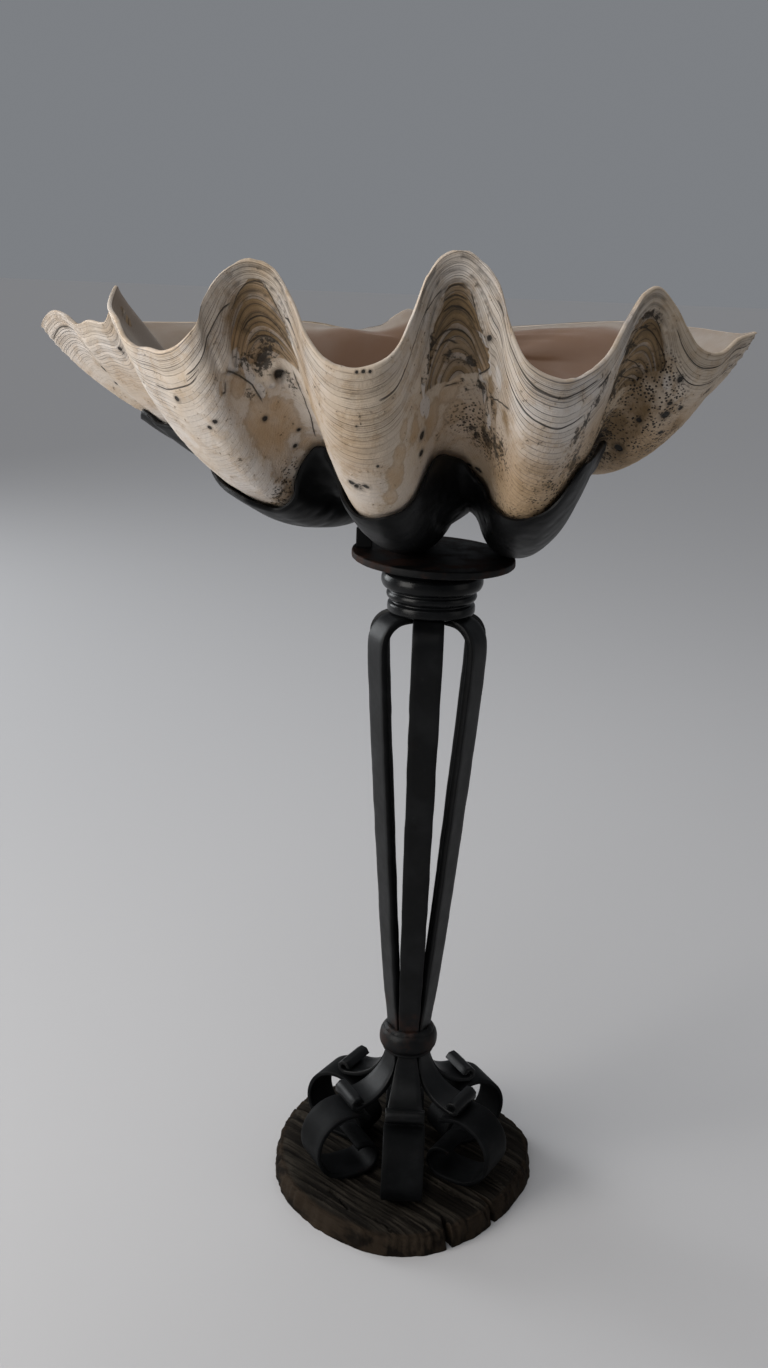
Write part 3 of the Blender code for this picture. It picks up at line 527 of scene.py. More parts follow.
def mesh_piece(name, vertices, faces, finish, replaces, sharp_degrees=50, marks=None):
    """A new piece of the object, given in millimetres, that stands for one or more solids."""
    low = np.array(CAD_BOX[0]) / MM + 0.05
    high = np.array(CAD_BOX[1]) / MM - 0.05
    vertices = np.clip(np.asarray(vertices, dtype=float), low, high) * MM
    mesh = bpy.data.meshes.new(name)
    mesh.from_pydata(vertices.tolist(), [], [tuple(int(v) for v in face) for face in faces])
    mesh.update()
    bm = bmesh.new()
    bm.from_mesh(mesh)
    bmesh.ops.recalc_face_normals(bm, faces=bm.faces)
    bm.to_mesh(mesh)
    bm.free()
    for label, numbers in (marks or {}).items():
        layer = mesh.attributes.new(label, "FLOAT", "POINT")
        layer.data.foreach_set("value", np.asarray(numbers, dtype=np.float32).ravel())
    mesh.shade_smooth()
    if sharp_degrees:
        mesh.set_sharp_from_angle(angle=math.radians(sharp_degrees))
    mesh.materials.append(finish)
    piece = bpy.data.objects.new(name, mesh)
    bpy.context.scene.collection.objects.link(piece)
    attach(piece, BODY)
    if replaces:
        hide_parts(*replaces)


def strip_faces(rows, columns, closed_rows=False, closed_columns=False, start=0):
    """Faces of a grid of points, row by row."""
    faces = []
    for k in range(rows if closed_rows else rows - 1):
        below = (k + 1) % rows
        for i in range(columns if closed_columns else columns - 1):
            right = (i + 1) % columns
            faces.append((
                start + k * columns + i, start + k * columns + right,
                start + below * columns + right, start + below * columns + i,
            ))
    return faces


class Value:
    """A socket of a material's nodes. Sums, products and quotients of values add Math nodes."""

    def __init__(self, finish, socket):
        self.finish = finish
        self.socket = socket

    def maths(self, operation, first, second=None):
        sockets = {0: first}
        if second is not None:
            sockets[1] = second
        return self.finish.node("ShaderNodeMath", {"operation": operation}, sockets)

    def __add__(self, other):
        return self.maths("ADD", self, other)

    __radd__ = __add__

    def __sub__(self, other):
        return self.maths("SUBTRACT", self, other)

    def __rsub__(self, other):
        return self.maths("SUBTRACT", other, self)

    def __mul__(self, other):
        return self.maths("MULTIPLY", self, other)

    __rmul__ = __mul__

    def __truediv__(self, other):
        return self.maths("DIVIDE", self, other)

    def __abs__(self):
        return self.maths("ABSOLUTE", self)

    def least(self, other):
        return self.maths("MINIMUM", self, other)

    def most(self, other):
        return self.maths("MAXIMUM", self, other)

    def rise(self, low, high):
        """0 at low, 1 at high and a smooth rise between. It falls where low is the larger."""
        settings = {"interpolation_type": "SMOOTHSTEP", "clamp": True}
        if low < high:
            return self.finish.node("ShaderNodeMapRange", settings, {0: self, 1: low, 2: high})
        return self.finish.node("ShaderNodeMapRange", settings, {0: self, 1: high, 2: low, 3: 1.0, 4: 0.0})


class Finish:
    """A material and the nodes that make it."""

    def __init__(self, name):
        self.material = bpy.data.materials.new(name)
        self.material.use_nodes = True
        self.tree = self.material.node_tree
        self.shader = self.tree.nodes["Principled BSDF"]
        self.place = self.node("ShaderNodeTexCoord", {}, {}, "Object")

    def node(self, kind, settings, sockets, output=0):
        """Add a node: its settings first, then the values or links of its sockets. Gives one output."""
        node = self.tree.nodes.new(kind)
        for name, setting in settings.items():
            setattr(node, name, setting)
        for name, value in sockets.items():
            self.join(value, node.inputs[name])
        return Value(self, node.outputs[output])

    def join(self, value, socket):
        if isinstance(value, Value):
            self.tree.links.new(value.socket, socket)
        else:
            socket.default_value = value

    def mark(self, label):
        return self.node("ShaderNodeAttribute", {"attribute_name": label}, {}, "Fac")

    def noise(self, where, scale, detail=3.0, roughness=0.55):
        sockets = {"Vector": where, "Scale": scale, "Detail": detail, "Roughness": roughness}
        return self.node("ShaderNodeTexNoise", {}, sockets, "Fac")

    def cells(self, where, scale, feature="F1"):
        sockets = {"Vector": where, "Scale": scale}
        return self.node("ShaderNodeTexVoronoi", {"feature": feature}, sockets, "Distance")

    def lines(self, along, count):
        """Distance from the nearest of uneven lines, as a share of their gap: count lines in one unit."""
        settings = {"voronoi_dimensions": "1D", "feature": "DISTANCE_TO_EDGE"}
        return self.node("ShaderNodeTexVoronoi", settings, {"W": along, "Scale": count}, "Distance")

    def tints(self, along, count):
        """A chance number for each stretch between such lines."""
        settings = {"voronoi_dimensions": "1D", "feature": "F1"}
        return self.node("ShaderNodeTexVoronoi", settings, {"W": along, "Scale": count}, "Color")

    def stretched(self, where, turn, scale):
        """The place turned by Euler angles and then stretched."""
        turned = self.node("ShaderNodeVectorRotate", {"rotation_type": "EULER_XYZ"}, {0: where, 4: turn})
        return self.node("ShaderNodeVectorMath", {"operation": "MULTIPLY"}, {0: turned, 1: scale})

    def height(self, where):
        return self.node("ShaderNodeSeparateXYZ", {}, {0: where}, "Z")

    def distance(self, where, spot):
        return self.node("ShaderNodeVectorMath", {"operation": "DISTANCE"}, {0: where, 1: spot}, "Value")

    def blend(self, factor, first, second):
        """Mix two colours."""
        settings = {"data_type": "RGBA", "clamp_factor": True}
        colours = [c if isinstance(c, Value) else tuple(c[:3]) + (1.0,) for c in (first, second)]
        return self.node("ShaderNodeMix", settings, {0: factor, 6: colours[0], 7: colours[1]}, 2)

    def layered(self, colour, *layers):
        """A colour with others laid over it in turn, each with its share."""
        for share, over in layers:
            colour = self.blend(share, colour, over)
        return colour

    def bump(self, height, depth, strength=1.0):
        return self.node("ShaderNodeBump", {}, {"Height": height, "Distance": depth, "Strength": strength})

    def surface(self, **sockets):
        """Set or link the shader's own sockets, named in plain words."""
        for name, value in sockets.items():
            self.join(value, self.shader.inputs[name.replace("_", " ").title().replace("Ior", "IOR")])
        return self.material


def colour_property(name, description, default):
    """A colour, as linear red, green and blue."""
    return FloatVectorProperty(
        name=name, description=description, subtype="COLOR", size=3, min=0.0, max=1.0, default=default
    )


def depth_property(name, description, default, most):
    """A depth of relief, with its default and largest value in millimetres."""
    return FloatProperty(
        name=name, description=description, subtype="DISTANCE", unit="LENGTH",
        default=default * MM, min=0.0, max=most * MM,
    )


def power_property(name, description, default):
    """A light's power in watts."""
    return FloatProperty(
        name=name, description=description, unit="POWER", default=default, min=0.0, max=500.0,
    )


def strength_property(name, description, default, most):
    """A plain strength, without a unit."""
    return FloatProperty(name=name, description=description, default=default, min=0.0, max=most)


class ClamShellLooks(PropertyGroup):
    """Colours and relief of the shell."""

    ivory: colour_property("Ivory", "Clean outside of the ribs", (0.50, 0.415, 0.325))
    chalk: colour_property("Chalk", "Bleached ledges and patches", (0.55, 0.505, 0.465))
    tan: colour_property("Tan", "Water stains on the outside", (0.38, 0.25, 0.13))
    ochre: colour_property("Ochre", "Stain in the grooves", (0.20, 0.125, 0.055))
    # Also the colour of the painted shade at ledges, in creases, in boreholes and in the sunk hollows
    dark_stain_and_shade: colour_property("Dark stain", "Deepest stain and boreholes", (0.022, 0.018, 0.014))
    line_grey: colour_property("Line grey", "Dirt in the growth lines", (0.20, 0.15, 0.10))
    blue_grey: colour_property("Blue grey", "Cold dirt in the growth lines", (0.15, 0.155, 0.17))
    # The inside's colours hold painted shade: they are darker than the shell's own colour, deepest in the
    # cavity
    inside_tan: colour_property("Inside tan", "Upper part of the cavity's wall", (0.235, 0.185, 0.145))
    inside_pearl: colour_property("Inside pearl", "Paler clouds of the cavity's wall", (0.36, 0.325, 0.29))
    inside_brown_shade: colour_property("Inside brown", "Brown flush low in the cavity", (0.14, 0.068, 0.034))
    ledge_depth: depth_property("Ledge depth", "Drop at each growth ledge", 1.3, 4)
    groove_ledge_depth: depth_property("Groove ledge depth", "Drop at each ledge in the grooves", 3.0, 8)
    hollow_depth: depth_property("Hollow depth", "Depth of the eroded hollows under the crests", 3.5, 8)


class ClamIronLooks(PropertyGroup):
    """Colours and relief of the ironwork."""

    black: colour_property("Black", "Forged black iron", (0.0018, 0.0020, 0.0022))
    worn: colour_property("Worn grey", "Rubbed edges and scuffs", (0.010, 0.0105, 0.0115))
    rust: colour_property("Rust", "Rust at the neck and on the plate", (0.030, 0.012, 0.007))
    hammer_depth: depth_property("Hammer depth", "Depth of the hammer marks in the cradle's sheet", 0.7, 2)


class ClamWoodLooks(PropertyGroup):
    """Colours and relief of the wood base."""

    brown: colour_property("Brown", "Weathered wood", (0.0090, 0.0075, 0.0057))
    grey: colour_property("Grey", "Bleached ridges", (0.028, 0.0235, 0.0182))
    reddish: colour_property("Reddish brown", "Rim of the disc", (0.021, 0.0145, 0.0095))
    # Painted shade in the furrows and cracks, and the dark streaks on the rim
    dark: colour_property("Dark", "Bottom of the grain and the cracks", (0.0035, 0.0027, 0.0021))
    grain_depth: depth_property("Grain depth", "Depth of the weathered grain", 2.9, 5)


class ClamStageLooks(PropertyGroup):
    """Floor and light."""

    floor: colour_property("Floor", "Pale floor", (0.47, 0.465, 0.47))
    surround: colour_property("Surround", "Light from all round", (0.80, 0.84, 0.90))
    surround_strength: strength_property("Surround strength", "Light from all round", 0.255, 5.0)
    sun_strength: strength_property("Soft sun", "Even light over the whole floor", 0.93, 20.0)
    key_power: power_property("Key light", "Large light from the left and the front", 29.0)
    fill_power: power_property("Fill light", "Soft light from the right", 3.0)
    top_power: power_property("Top light", "Light from above and behind", 7.0)
    rim_power: power_property("Rim light", "Panel behind on the left, for the sheen of the iron", 80.0)


def shell_finish(looks, pits, crease_groups):
    """Ivory ribs, dirty growth lines, stained grooves, boreholes and a smooth tan inside, with painted shade
    in the recesses.
    """
    finish = Finish("old shell")
    place = finish.place
    growth = finish.mark("growth")
    inside = finish.mark("inside")
    hollow = finish.mark("hollow")
    cloud = finish.noise(place, 9.0, 4.0)
    patchy = finish.noise(place, 24.0, 3.0)
    grime = finish.noise(place, 60.0, 5.0, 0.65)
    specks = finish.noise(place, 300.0, 3.0, 0.6)
    drift = growth + (cloud - 0.5) * 0.012 + (patchy - 0.5) * 0.004
    gaps = finish.lines(drift, 120.0)
    narrow_gaps = finish.lines(drift, 330.0)
    tint = finish.tints(drift, 120.0)
    young = growth.rise(0.17, 0.04)
    held = (patchy + cloud * 0.5).rise(0.62, 0.86)
    flank = finish.mark("flank")
    aged = (finish.mark("aged") * (cloud * 1.5 + 0.1)).rise(0.15, 0.85)
    hair_strength = (young * 0.72 + 0.22).most(aged * 0.50) * (held * 0.75 + 0.25).most(flank)
    hairs = (gaps.rise(0.085, 0.02) * hair_strength).most(gaps.rise(0.10, 0.02) * aged * 0.28)
    threads = narrow_gaps.rise(0.16, 0.04) * (young * 0.55 + 0.14) * patchy.rise(0.38, 0.62).most(flank)
    bands = tint.rise(0.35, 0.95) * (young * 0.8 + 0.1)

    line_dark = finish.layered(
        looks.line_grey,
        (cloud.rise(0.42, 0.60), looks.blue_grey),
        (tint.rise(0.45, 0.9) * 0.7, looks.dark_stain_and_shade),
    )
    ground = finish.layered(
        looks.ochre,
        (patchy.rise(0.40, 0.66), looks.tan),
        (tint.rise(0.45, 0.15) * grime.rise(0.35, 0.60) * 0.50, looks.chalk),
        (grime.rise(0.50, 0.72) * 0.55 + tint.rise(0.6, 1.0) * 0.25, looks.dark_stain_and_shade),
    )
    tan_area = (finish.mark("tan") + (patchy - 0.5) * 1.1 + (grime - 0.5) * 0.9).rise(0.24, 0.70)
    tan_edge = tan_area.rise(0.15, 0.5) * tan_area.rise(0.95, 0.6)
    ochre_area = (finish.mark("ochre") * (grime * 1.7 + 0.15)).rise(0.20, 0.75)
    hollow_area = (hollow + (grime - 0.5) * 0.7).rise(0.34, 0.62)
    white_area = (finish.mark("white") + (grime - 0.5) * 0.9).rise(0.38, 0.56)
    # Dark patches: stain, with painted shade where they lie in sunk hollows
    dark_area = (finish.mark("dark") + (grime - 0.5) * 1.5 + (specks - 0.5) * 2.2).rise(0.32, 0.80)
    # Painted shade: dark arch lines in the hollows with softer shade beside them, and shade at the ledges
    arches = finish.lines(growth + (patchy - 0.5) * 0.004, 70.0)
    arch = (arches.rise(0.10, 0.03) * 0.8).most(arches.rise(0.5, 0.05) * 0.30) * hollow_area
    arch = arch.most(finish.mark("ledge") * (grime * 1.4 + 0.2))
    # Painted shade along the creases, reaching further out in patches
    crease_width = (grime * 2.6 - 0.55).most(0.18) + specks * 0.3
    crease_shades = []
    for k in range(crease_groups):
        crease = abs(finish.mark(f"crease_{k}")) / crease_width
        crease_shade = crease.rise(1.2, 0.6).most(crease.rise(4.5, 0.8) * grime.rise(0.38, 0.66) * 0.55)
        crease_shades.append(crease_shade * finish.mark(f"close_{k}"))
    all_crease_shade = functools.reduce(Value.most, crease_shades)
    speckle = finish.mark("speckled")
    dots = finish.cells(place, 360.0).rise(0.40, 0.26) * finish.noise(place, 90.0, 2.0).rise(0.34, 0.50)
    freckles = (dots * speckle.rise(0.12, 0.5)).most(specks.rise(0.70, 0.76) * 0.6)
    # Painted shade: the boreholes are dark disks, with a ring of stain round them
    nearest = functools.reduce(Value.least, [finish.distance(place, spot) / size for spot, size in pits])
    edge = nearest + specks * 0.5 - 0.25
    hole = edge.rise(1.15, 0.80)
    stain_round = edge.rise(2.4, 1.0) * 0.4
    long_line = (abs(finish.mark("line")) / (patchy * 1.1 + 0.25)).rise(1.2, 0.5) * finish.mark("line_close")
    outside_colour = finish.layered(
        looks.ivory,
        (cloud.rise(0.35, 0.68), looks.chalk),
        (grime.rise(0.44, 0.68) * 0.42, looks.tan),
        (specks.rise(0.56, 0.68) * grime.rise(0.40, 0.60) * 0.35, looks.line_grey),
        (aged * 0.70, looks.tan),
        (aged * grime.rise(0.50, 0.66) * 0.40, looks.line_grey),
        (growth.rise(0.014, 0.006) * patchy.rise(0.30, 0.55) * 0.3, looks.tan),
        (patchy.rise(0.50, 0.78) * 0.25, looks.tan),
        # Painted shade on the right part of the front
        (finish.mark("right_side_shade") * cloud.rise(0.22, 0.58) * 0.75, looks.tan),
        (bands * 0.42, looks.line_grey),
        ((hairs * 0.80).most(threads * 0.55), line_dark),
        (tan_area * (0.30 + patchy.rise(0.30, 0.65) * 0.45), looks.tan),
        (tan_edge * 0.30, looks.ochre),
        (ochre_area * 0.80, looks.ochre),
        (hollow_area * 0.85, ground),
        (white_area * 0.9, looks.chalk),
        ((dark_area * 0.90).most(arch * 0.90).most(all_crease_shade * 0.85), looks.dark_stain_and_shade),
        (speckle * grime.rise(0.44, 0.66) * 0.55, looks.ochre),
        (freckles * 0.95, looks.dark_stain_and_shade),
        (hole.most(stain_round), looks.dark_stain_and_shade),
        (long_line * 0.85, looks.dark_stain_and_shade),
    )

    # Painted shade: browner and darker further down in the cavity
    shading = (finish.mark("low") + cloud * 0.9 - 0.55).rise(0.20, 0.90)
    rim_lines = finish.lines(drift, 150.0).rise(0.20, 0.05) * growth.rise(0.10, 0.02) * 0.35
    inside_colour = finish.layered(
        looks.inside_tan,
        (patchy.rise(0.35, 0.75) * 0.5, looks.inside_pearl),
        (shading * 0.85, looks.inside_brown_shade),
        (grime.rise(0.56, 0.80) * 0.30, looks.ochre),
        (rim_lines, looks.line_grey),
    )
    colour = finish.blend(inside.rise(0.35, 0.65), outside_colour, inside_colour)

    furrows = hairs * -0.7 + threads * -0.3 + bands * 0.3
    relief = (furrows + grime + specks * 0.40) * (1 - inside * 0.8)
    sunk = (hole * 3.0 + dots * speckle * 1.4 + long_line * 1.2 + all_crease_shade * 0.9) * (1 - inside)
    normal = finish.bump(relief - sunk, 1.2 * MM)
    rough = 0.50 + grime * 0.25 - inside * 0.16
    return finish.surface(base_color=colour, roughness=rough, normal=normal, specular_ior_level=0.3)


def iron_finish(looks, name, rust_amount, gloss, hammered=0.0, shine=0.14):
    """Black forged iron, slightly mottled, rubbed grey here and there, with some rust."""
    finish = Finish(name)
    place = finish.place
    cloud = finish.noise(place, 26.0, 4.0, 0.6)
    grit = finish.noise(place, 260.0, 4.0, 0.65)
    scuff = finish.noise(place, 90.0, 5.0, 0.7)
    rusty = finish.noise(place, 38.0, 4.0, 0.65)
    neck = (abs(finish.height(place) - NECK_RUST_HEIGHT) / NECK_RUST_REACH).rise(1.0, 0.2) * 0.38
    rust = (rusty + neck * 0.35 + rust_amount * 0.25).rise(0.62, 0.84) * (neck + rust_amount)
    colour = finish.layered(
        looks.black,
        (cloud.rise(0.38, 0.72) * 0.5, looks.worn),
        (scuff.rise(0.60, 0.74) * 0.45, looks.worn),
        (rust, looks.rust),
    )
    rough = gloss + scuff * 0.22 + rust * 0.25
    height = grit * 0.25 + scuff * 0.5
    depth = 0.25 * MM
    if hammered:
        dents = finish.cells(place, 78.0, "SMOOTH_F1")
        height = height * 0.3 + dents * 1.6 + cloud * 0.8
        depth = hammered
    normal = finish.bump(height, depth, 0.8)
    return finish.surface(base_color=colour, roughness=rough, normal=normal, specular_ior_level=shine)


def wood_finish(looks):
    """Deeply weathered wood: straight grey ridges, furrows and cracks darkened with painted shade, and a
    reddish rim.
    """
    finish = Finish("weathered wood")
    place = finish.place
    along = finish.stretched(place, (0.0, 0.0, math.radians(-GRAIN_DEGREES)), (0.045, 1.0, 0.5))
    grain = finish.noise(along, 620.0, 4.0, 0.65)
    broad = finish.noise(along, 120.0, 3.0, 0.6)
    cloud = finish.noise(place, 16.0, 4.0)
    fleck = finish.noise(place, 300.0, 3.0)
    low = finish.mark("furrow")
    rim = finish.mark("rim")
    colour = finish.layered(
        looks.brown,
        (cloud.rise(0.35, 0.70), looks.grey),
        (grain.rise(0.48, 0.66) * (1 - low) * 0.8, looks.grey),
        # Painted shade in the furrows of the top and the worn streaks of the rim, and darker grain
        (low.rise(0.30, 0.90) * 0.72 + grain.rise(0.49, 0.38) * 0.7, looks.dark),
        (rim * 0.8, looks.reddish),
        (rim * (broad.rise(0.56, 0.36) * 0.85), looks.dark),
        # Painted shade in the cracks
        (finish.mark("crack"), looks.dark),
    )
    normal = finish.bump(grain * 0.8 + broad * 0.6 + fleck * 0.15, MM, 0.9)
    rough = 0.76 + fleck * 0.2
    return finish.surface(base_color=colour, roughness=rough, normal=normal, specular_ior_level=0.06)


def floor_finish(looks):
    """A pale, slightly cloudy floor."""
    finish = Finish("pale floor")
    cloud = finish.noise(finish.place, 3.0, 2.0)
    colour = finish.blend(cloud * 0.12, looks.floor, tuple(0.93 * c for c in looks.floor))
    return finish.surface(base_color=colour, roughness=0.75)


def margin_lines():
    """The margin, the margin without its folds, and the level direction into the shell, all round."""
    margin = smooth_curve(MARGIN, MARGIN_POINTS, True, 3)
    reach = round(MARGIN_POINTS * FOLD_REACH) - 1
    steps = np.arange(-reach, reach + 1)
    weights = 1 + np.cos(np.pi * steps / (reach + 1))
    weights = weights / weights.sum()
    mean = sum(weight * np.roll(margin, -step, axis=0) for weight, step in zip(weights, steps))
    tangent = np.roll(mean, -1, axis=0) - np.roll(mean, 1, axis=0)
    inward = side_by_side(-tangent[:, 1], tangent[:, 0], 0)
    inward = inward / np.linalg.norm(inward, axis=1)[:, None]
    return margin, mean, inward


def at_shares(loop, shares):
    """Points of a closed loop of evenly spaced points, at shares of its length."""
    whole = np.vstack([loop, loop[:1]])
    places = np.linspace(0, 1, len(whole))
    return np.stack([np.interp(shares % 1, places, whole[:, k]) for k in range(3)], axis=1)


def sweep(curve, margin, pole, t):
    """The curve as it stood at growth turn t: shrunk towards the pole and turned down about the hinge."""
    size = 1 - t ** GROWTH_CURL
    stiff = smooth_rise((margin[:, 1] - STIFF_BACK_FROM) / STIFF_BACK_OVER)
    angle = GROWTH_TURN * t * (1 - STIFF_BACK_SHARE * stiff)
    arm = curve - pole
    y = arm[:, 1] * np.cos(angle) - arm[:, 2] * np.sin(angle)
    z = arm[:, 1] * np.sin(angle) + arm[:, 2] * np.cos(angle)
    belly = BELLY_DEPTH * np.clip((-margin[:, 0] - BELLY_FROM) / BELLY_OVER, 0, 1) ** 1.5
    sag = belly * 4 * size * (1 - size)
    return pole + side_by_side(size * arm[:, 0], size * y, size * z - sag)


def wall_thickness(t):
    """The wall at growth turn t, before it shrinks with the shell: thin at the edge, thick at the floor."""
    return EDGE_WALL + (MARGIN_WALL - EDGE_WALL) * smooth_rise(t / 0.10) + FLOOR_WALL * smooth_rise(t / 0.4)


def shell_inside(margin, mean, inward, t):
    """The inner face at growth turn t, with folds half as deep as outside."""
    fold = 1 - 0.5 * smooth_rise(t / 0.6)
    wall = wall_thickness(t) + HINGE_WALL * smooth_rise((margin[:, 1] - HINGE_WALL_FROM) / HINGE_WALL_OVER)
    rim = mean + fold * (margin - mean) + wall[:, None] * inward
    return sweep(rim, margin, UMBO + HINGE_PLATE, t)


def groove_amount(margin, mean, inward):
    """1 where the outside folds in, 0 on the ribs."""
    fold = ((margin - mean) * inward).sum(axis=1)
    return smooth_rise((fold - FOLD_START) / FOLD_OVER)


def normals_of(grid, closed):
    """Unit normals of a grid of points, rows first."""
    if closed:
        along = np.roll(grid, -1, axis=1) - np.roll(grid, 1, axis=1)
    else:
        along = np.gradient(grid, axis=1)
    normal = np.cross(along, np.gradient(grid, axis=0))
    return normal / np.maximum(np.linalg.norm(normal, axis=2), 1e-9)[:, :, None]


def nearness(share, turn, spot, sharpness=1.0):
    """1 in the middle of a spot, falling off over its reaches along and down."""
    centre, depth, wide, high = spot
    return np.exp(-(((share - centre) / wide) ** 2 + ((turn - depth) / high) ** 2) * sharpness)


def patches(share, turn, spots):
    """How strongly each point lies in any of the patches."""
    total = np.zeros(np.broadcast(share, turn).shape)
    for *spot, strength in spots:
        total = np.maximum(total, strength * nearness(share, turn, spot, 0.8))
    return total


def climb(share, turn):
    """The growth turn of each point, raised in the grooves, so that growth lines arch there."""
    lift = 0
    for centre in GROOVES:
        lift = lift + 1 - smooth_rise(np.abs(share - centre) / ARCH_HALF)
    return turn + ARCH_LIFT * lift * smooth_rise(turn / 0.06)


def crease_marks(share, turn, creases):
    """Signed distance from the nearest crease in millimetres, and 1 where a crease is close."""
    shape = np.broadcast(share, turn).shape
    nearest, total, close = np.full(shape, np.inf), np.full(shape, FAR_AWAY), np.zeros(shape)
    shrink = np.maximum(1 - turn ** GROWTH_CURL, 0.2)
    for crease in creases:
        shares, turns = (np.array(values) for values in zip(*crease))
        if np.ptp(shares) * MARGIN_LENGTH < np.ptp(turns) * TURN_LENGTH:
            signed = (share - np.interp(turn, turns, shares)) * MARGIN_LENGTH * shrink
            inside = np.minimum(turn - turns[0], turns[-1] - turn) * TURN_LENGTH
        else:
            signed = (turn - np.interp(share, shares, turns)) * TURN_LENGTH
            inside = np.minimum(share - shares[0], shares[-1] - share) * MARGIN_LENGTH * shrink
        away = np.hypot(signed, np.maximum(-inside, 0))
        nearer = away < nearest
        nearest = np.where(nearer, away, nearest)
        total = np.where(nearer, signed, total)
        close = np.where(nearer, smooth_rise(inside / 5 + 0.6) * smooth_rise((9 - away) / 3), close)
    return total, close


def apart(creases, gap):
    """Share creases out into groups, so that those of one group lie at least a gap apart, in millimetres."""
    groups = []
    for crease in creases:
        shares, turns = (np.interp(np.linspace(0, len(crease) - 1, 24), range(len(crease)), values)
                         for values in zip(*crease))
        points = side_by_side(shares * MARGIN_LENGTH, turns * TURN_LENGTH)
        for group in groups:
            if all(np.linalg.norm(points[:, None] - other, axis=2).min() > gap for _, other in group):
                break
        else:
            group = []
            groups.append(group)
        group.append((crease, points))
    return [[crease for crease, _ in group] for group in groups]


def hollow_amount(share, turn):
    """1 in the hollows under the crests, 0 outside them."""
    total = np.zeros(np.broadcast(share, turn).shape)
    for sides, ends in HOLLOWS:
        turns, lefts, rights = zip(*sides)
        left = smooth_rise((share - np.interp(turn, turns, lefts)) * MARGIN_LENGTH / 4 + 0.5)
        right = smooth_rise((np.interp(turn, turns, rights) - share) * MARGIN_LENGTH / 4 + 0.5)
        top = smooth_rise((turn - turns[0]) * TURN_LENGTH / 4 + 0.5)
        low = smooth_rise((np.interp(share, *zip(*ends)) - turn) * TURN_LENGTH / 5 + 0.5)
        total = np.maximum(total, left * right * top * low)
    return total


def ledge_relief(looks, share, turn, groove, grid):
    """How far the outside stands out of its smooth form, in millimetres, and the painted shade at its ledges.
    """
    growth = climb(share, turn)
    young = smooth_rise((0.17 - turn) / 0.13)
    sway = soft_noise(side_by_side(share * 40, turn * 6, 0), 3)
    patchy = smooth_rise(0.5 + 0.9 * soft_noise(side_by_side(share * 55, turn * 14, 0), 5))
    coarse = np.mod(growth / RIB_STEP + 0.35 * sway, 1)
    broad = np.mod(growth / GROOVE_STEP + 0.5 * sway + 0.3, 1)
    fade = smooth_rise(turn / 0.012) * smooth_rise((0.85 - turn) / 0.25)
    depth = looks.ledge_depth / MM * (0.15 + 0.85 * patchy) * (0.25 + 0.75 * young)
    deep = looks.groove_ledge_depth / MM * groove * (0.15 + 0.85 * young)
    lumps = 0.6 * (1 + rough_noise(grid / 11.0, 21)) * (0.5 + 1.2 * groove * young)
    sunk = (coarse * depth + broad * deep + lumps) * fade
    raised = 0
    for edge, height, length in LEDGES:
        shares, turns = zip(*edge)
        rim = np.interp(share, shares, turns) + 0.006 * soft_noise(side_by_side(share * 260, 0, 0), 31)
        window = smooth_rise((share - shares[0]) / 0.003) * smooth_rise((shares[-1] - share) / 0.003)
        above = np.where(turn < rim, np.exp(-np.maximum(rim - turn, 0) / length), 0)
        raised = raised + height * window * above
    for *spot, height in LUMPS:
        raised = raised + height * nearness(share, turn, spot)
    pitted = patches(share, turn, SPECKLED_PATCHES) * (0.6 + 0.6 * soft_noise(grid / 4.0, 41))
    torn = smooth_rise((share - TORN_FROM) / 0.02) * smooth_rise((FRONT_END - share) / 0.01)
    torn = torn * smooth_rise((0.16 - turn) / 0.05)
    sheets = 1 - np.mod(turn / TORN_STEP + 0.5 * sway, 1)
    sunk = sunk + torn * fade * 2.2 * sheets * (0.5 + 0.5 * patchy)
    # Painted shade at each growth ledge in the grooves and at the edges of the torn sheets
    shade = smooth_rise((broad - 0.62) / 0.38) * groove * young * fade
    shade = np.maximum(shade, 0.8 * torn * smooth_rise((0.3 - sheets) / 0.3))
    sunk = sunk + looks.hollow_depth / MM * hollow_amount(share, turn) + np.clip(pitted, 0, 1)
    most = 0.5 * wall_thickness(turn) * np.maximum(1 - turn ** GROWTH_CURL, 0.3)
    relief = raised - sunk
    relief = np.where(relief < 0, -most * np.tanh(-relief / most), relief)
    return relief, shade


def without_dips(level):
    """The inside's heights with narrow dips filled, ever more towards the floor."""
    filled = level
    shifts = range(-FILL_REACH, FILL_REACH + 1)
    for _ in range(FILL_ROUNDS):
        spread = sum(np.roll(filled, shift, axis=1) for shift in shifts) / len(shifts)
        filled = np.maximum(level, spread)
    return level + (filled - level) * (0.9 * smooth_rise((INNER_TURNS - 0.25) / 0.4))[:, None]


def lip_rows(outside, inside, crest, shares):
    """Rows across the rounded lip, with small chips."""
    chip = 0.5 * (1 + soft_noise(side_by_side(shares * 330, 0, 0), 61))
    chip = chip * smooth_rise(0.5 + soft_noise(side_by_side(shares * 60, 0, 0), 62))
    lips = []
    for part in LIP_PARTS:
        row = outside * (1 - part) + inside * part
        rise = np.linalg.norm(crest - outside, axis=1) * math.sin(math.pi * part) ** 0.6
        row[:, 2] += np.maximum(rise - 1.6 * chip, 0.3)
        lips.append(row)
    return lips


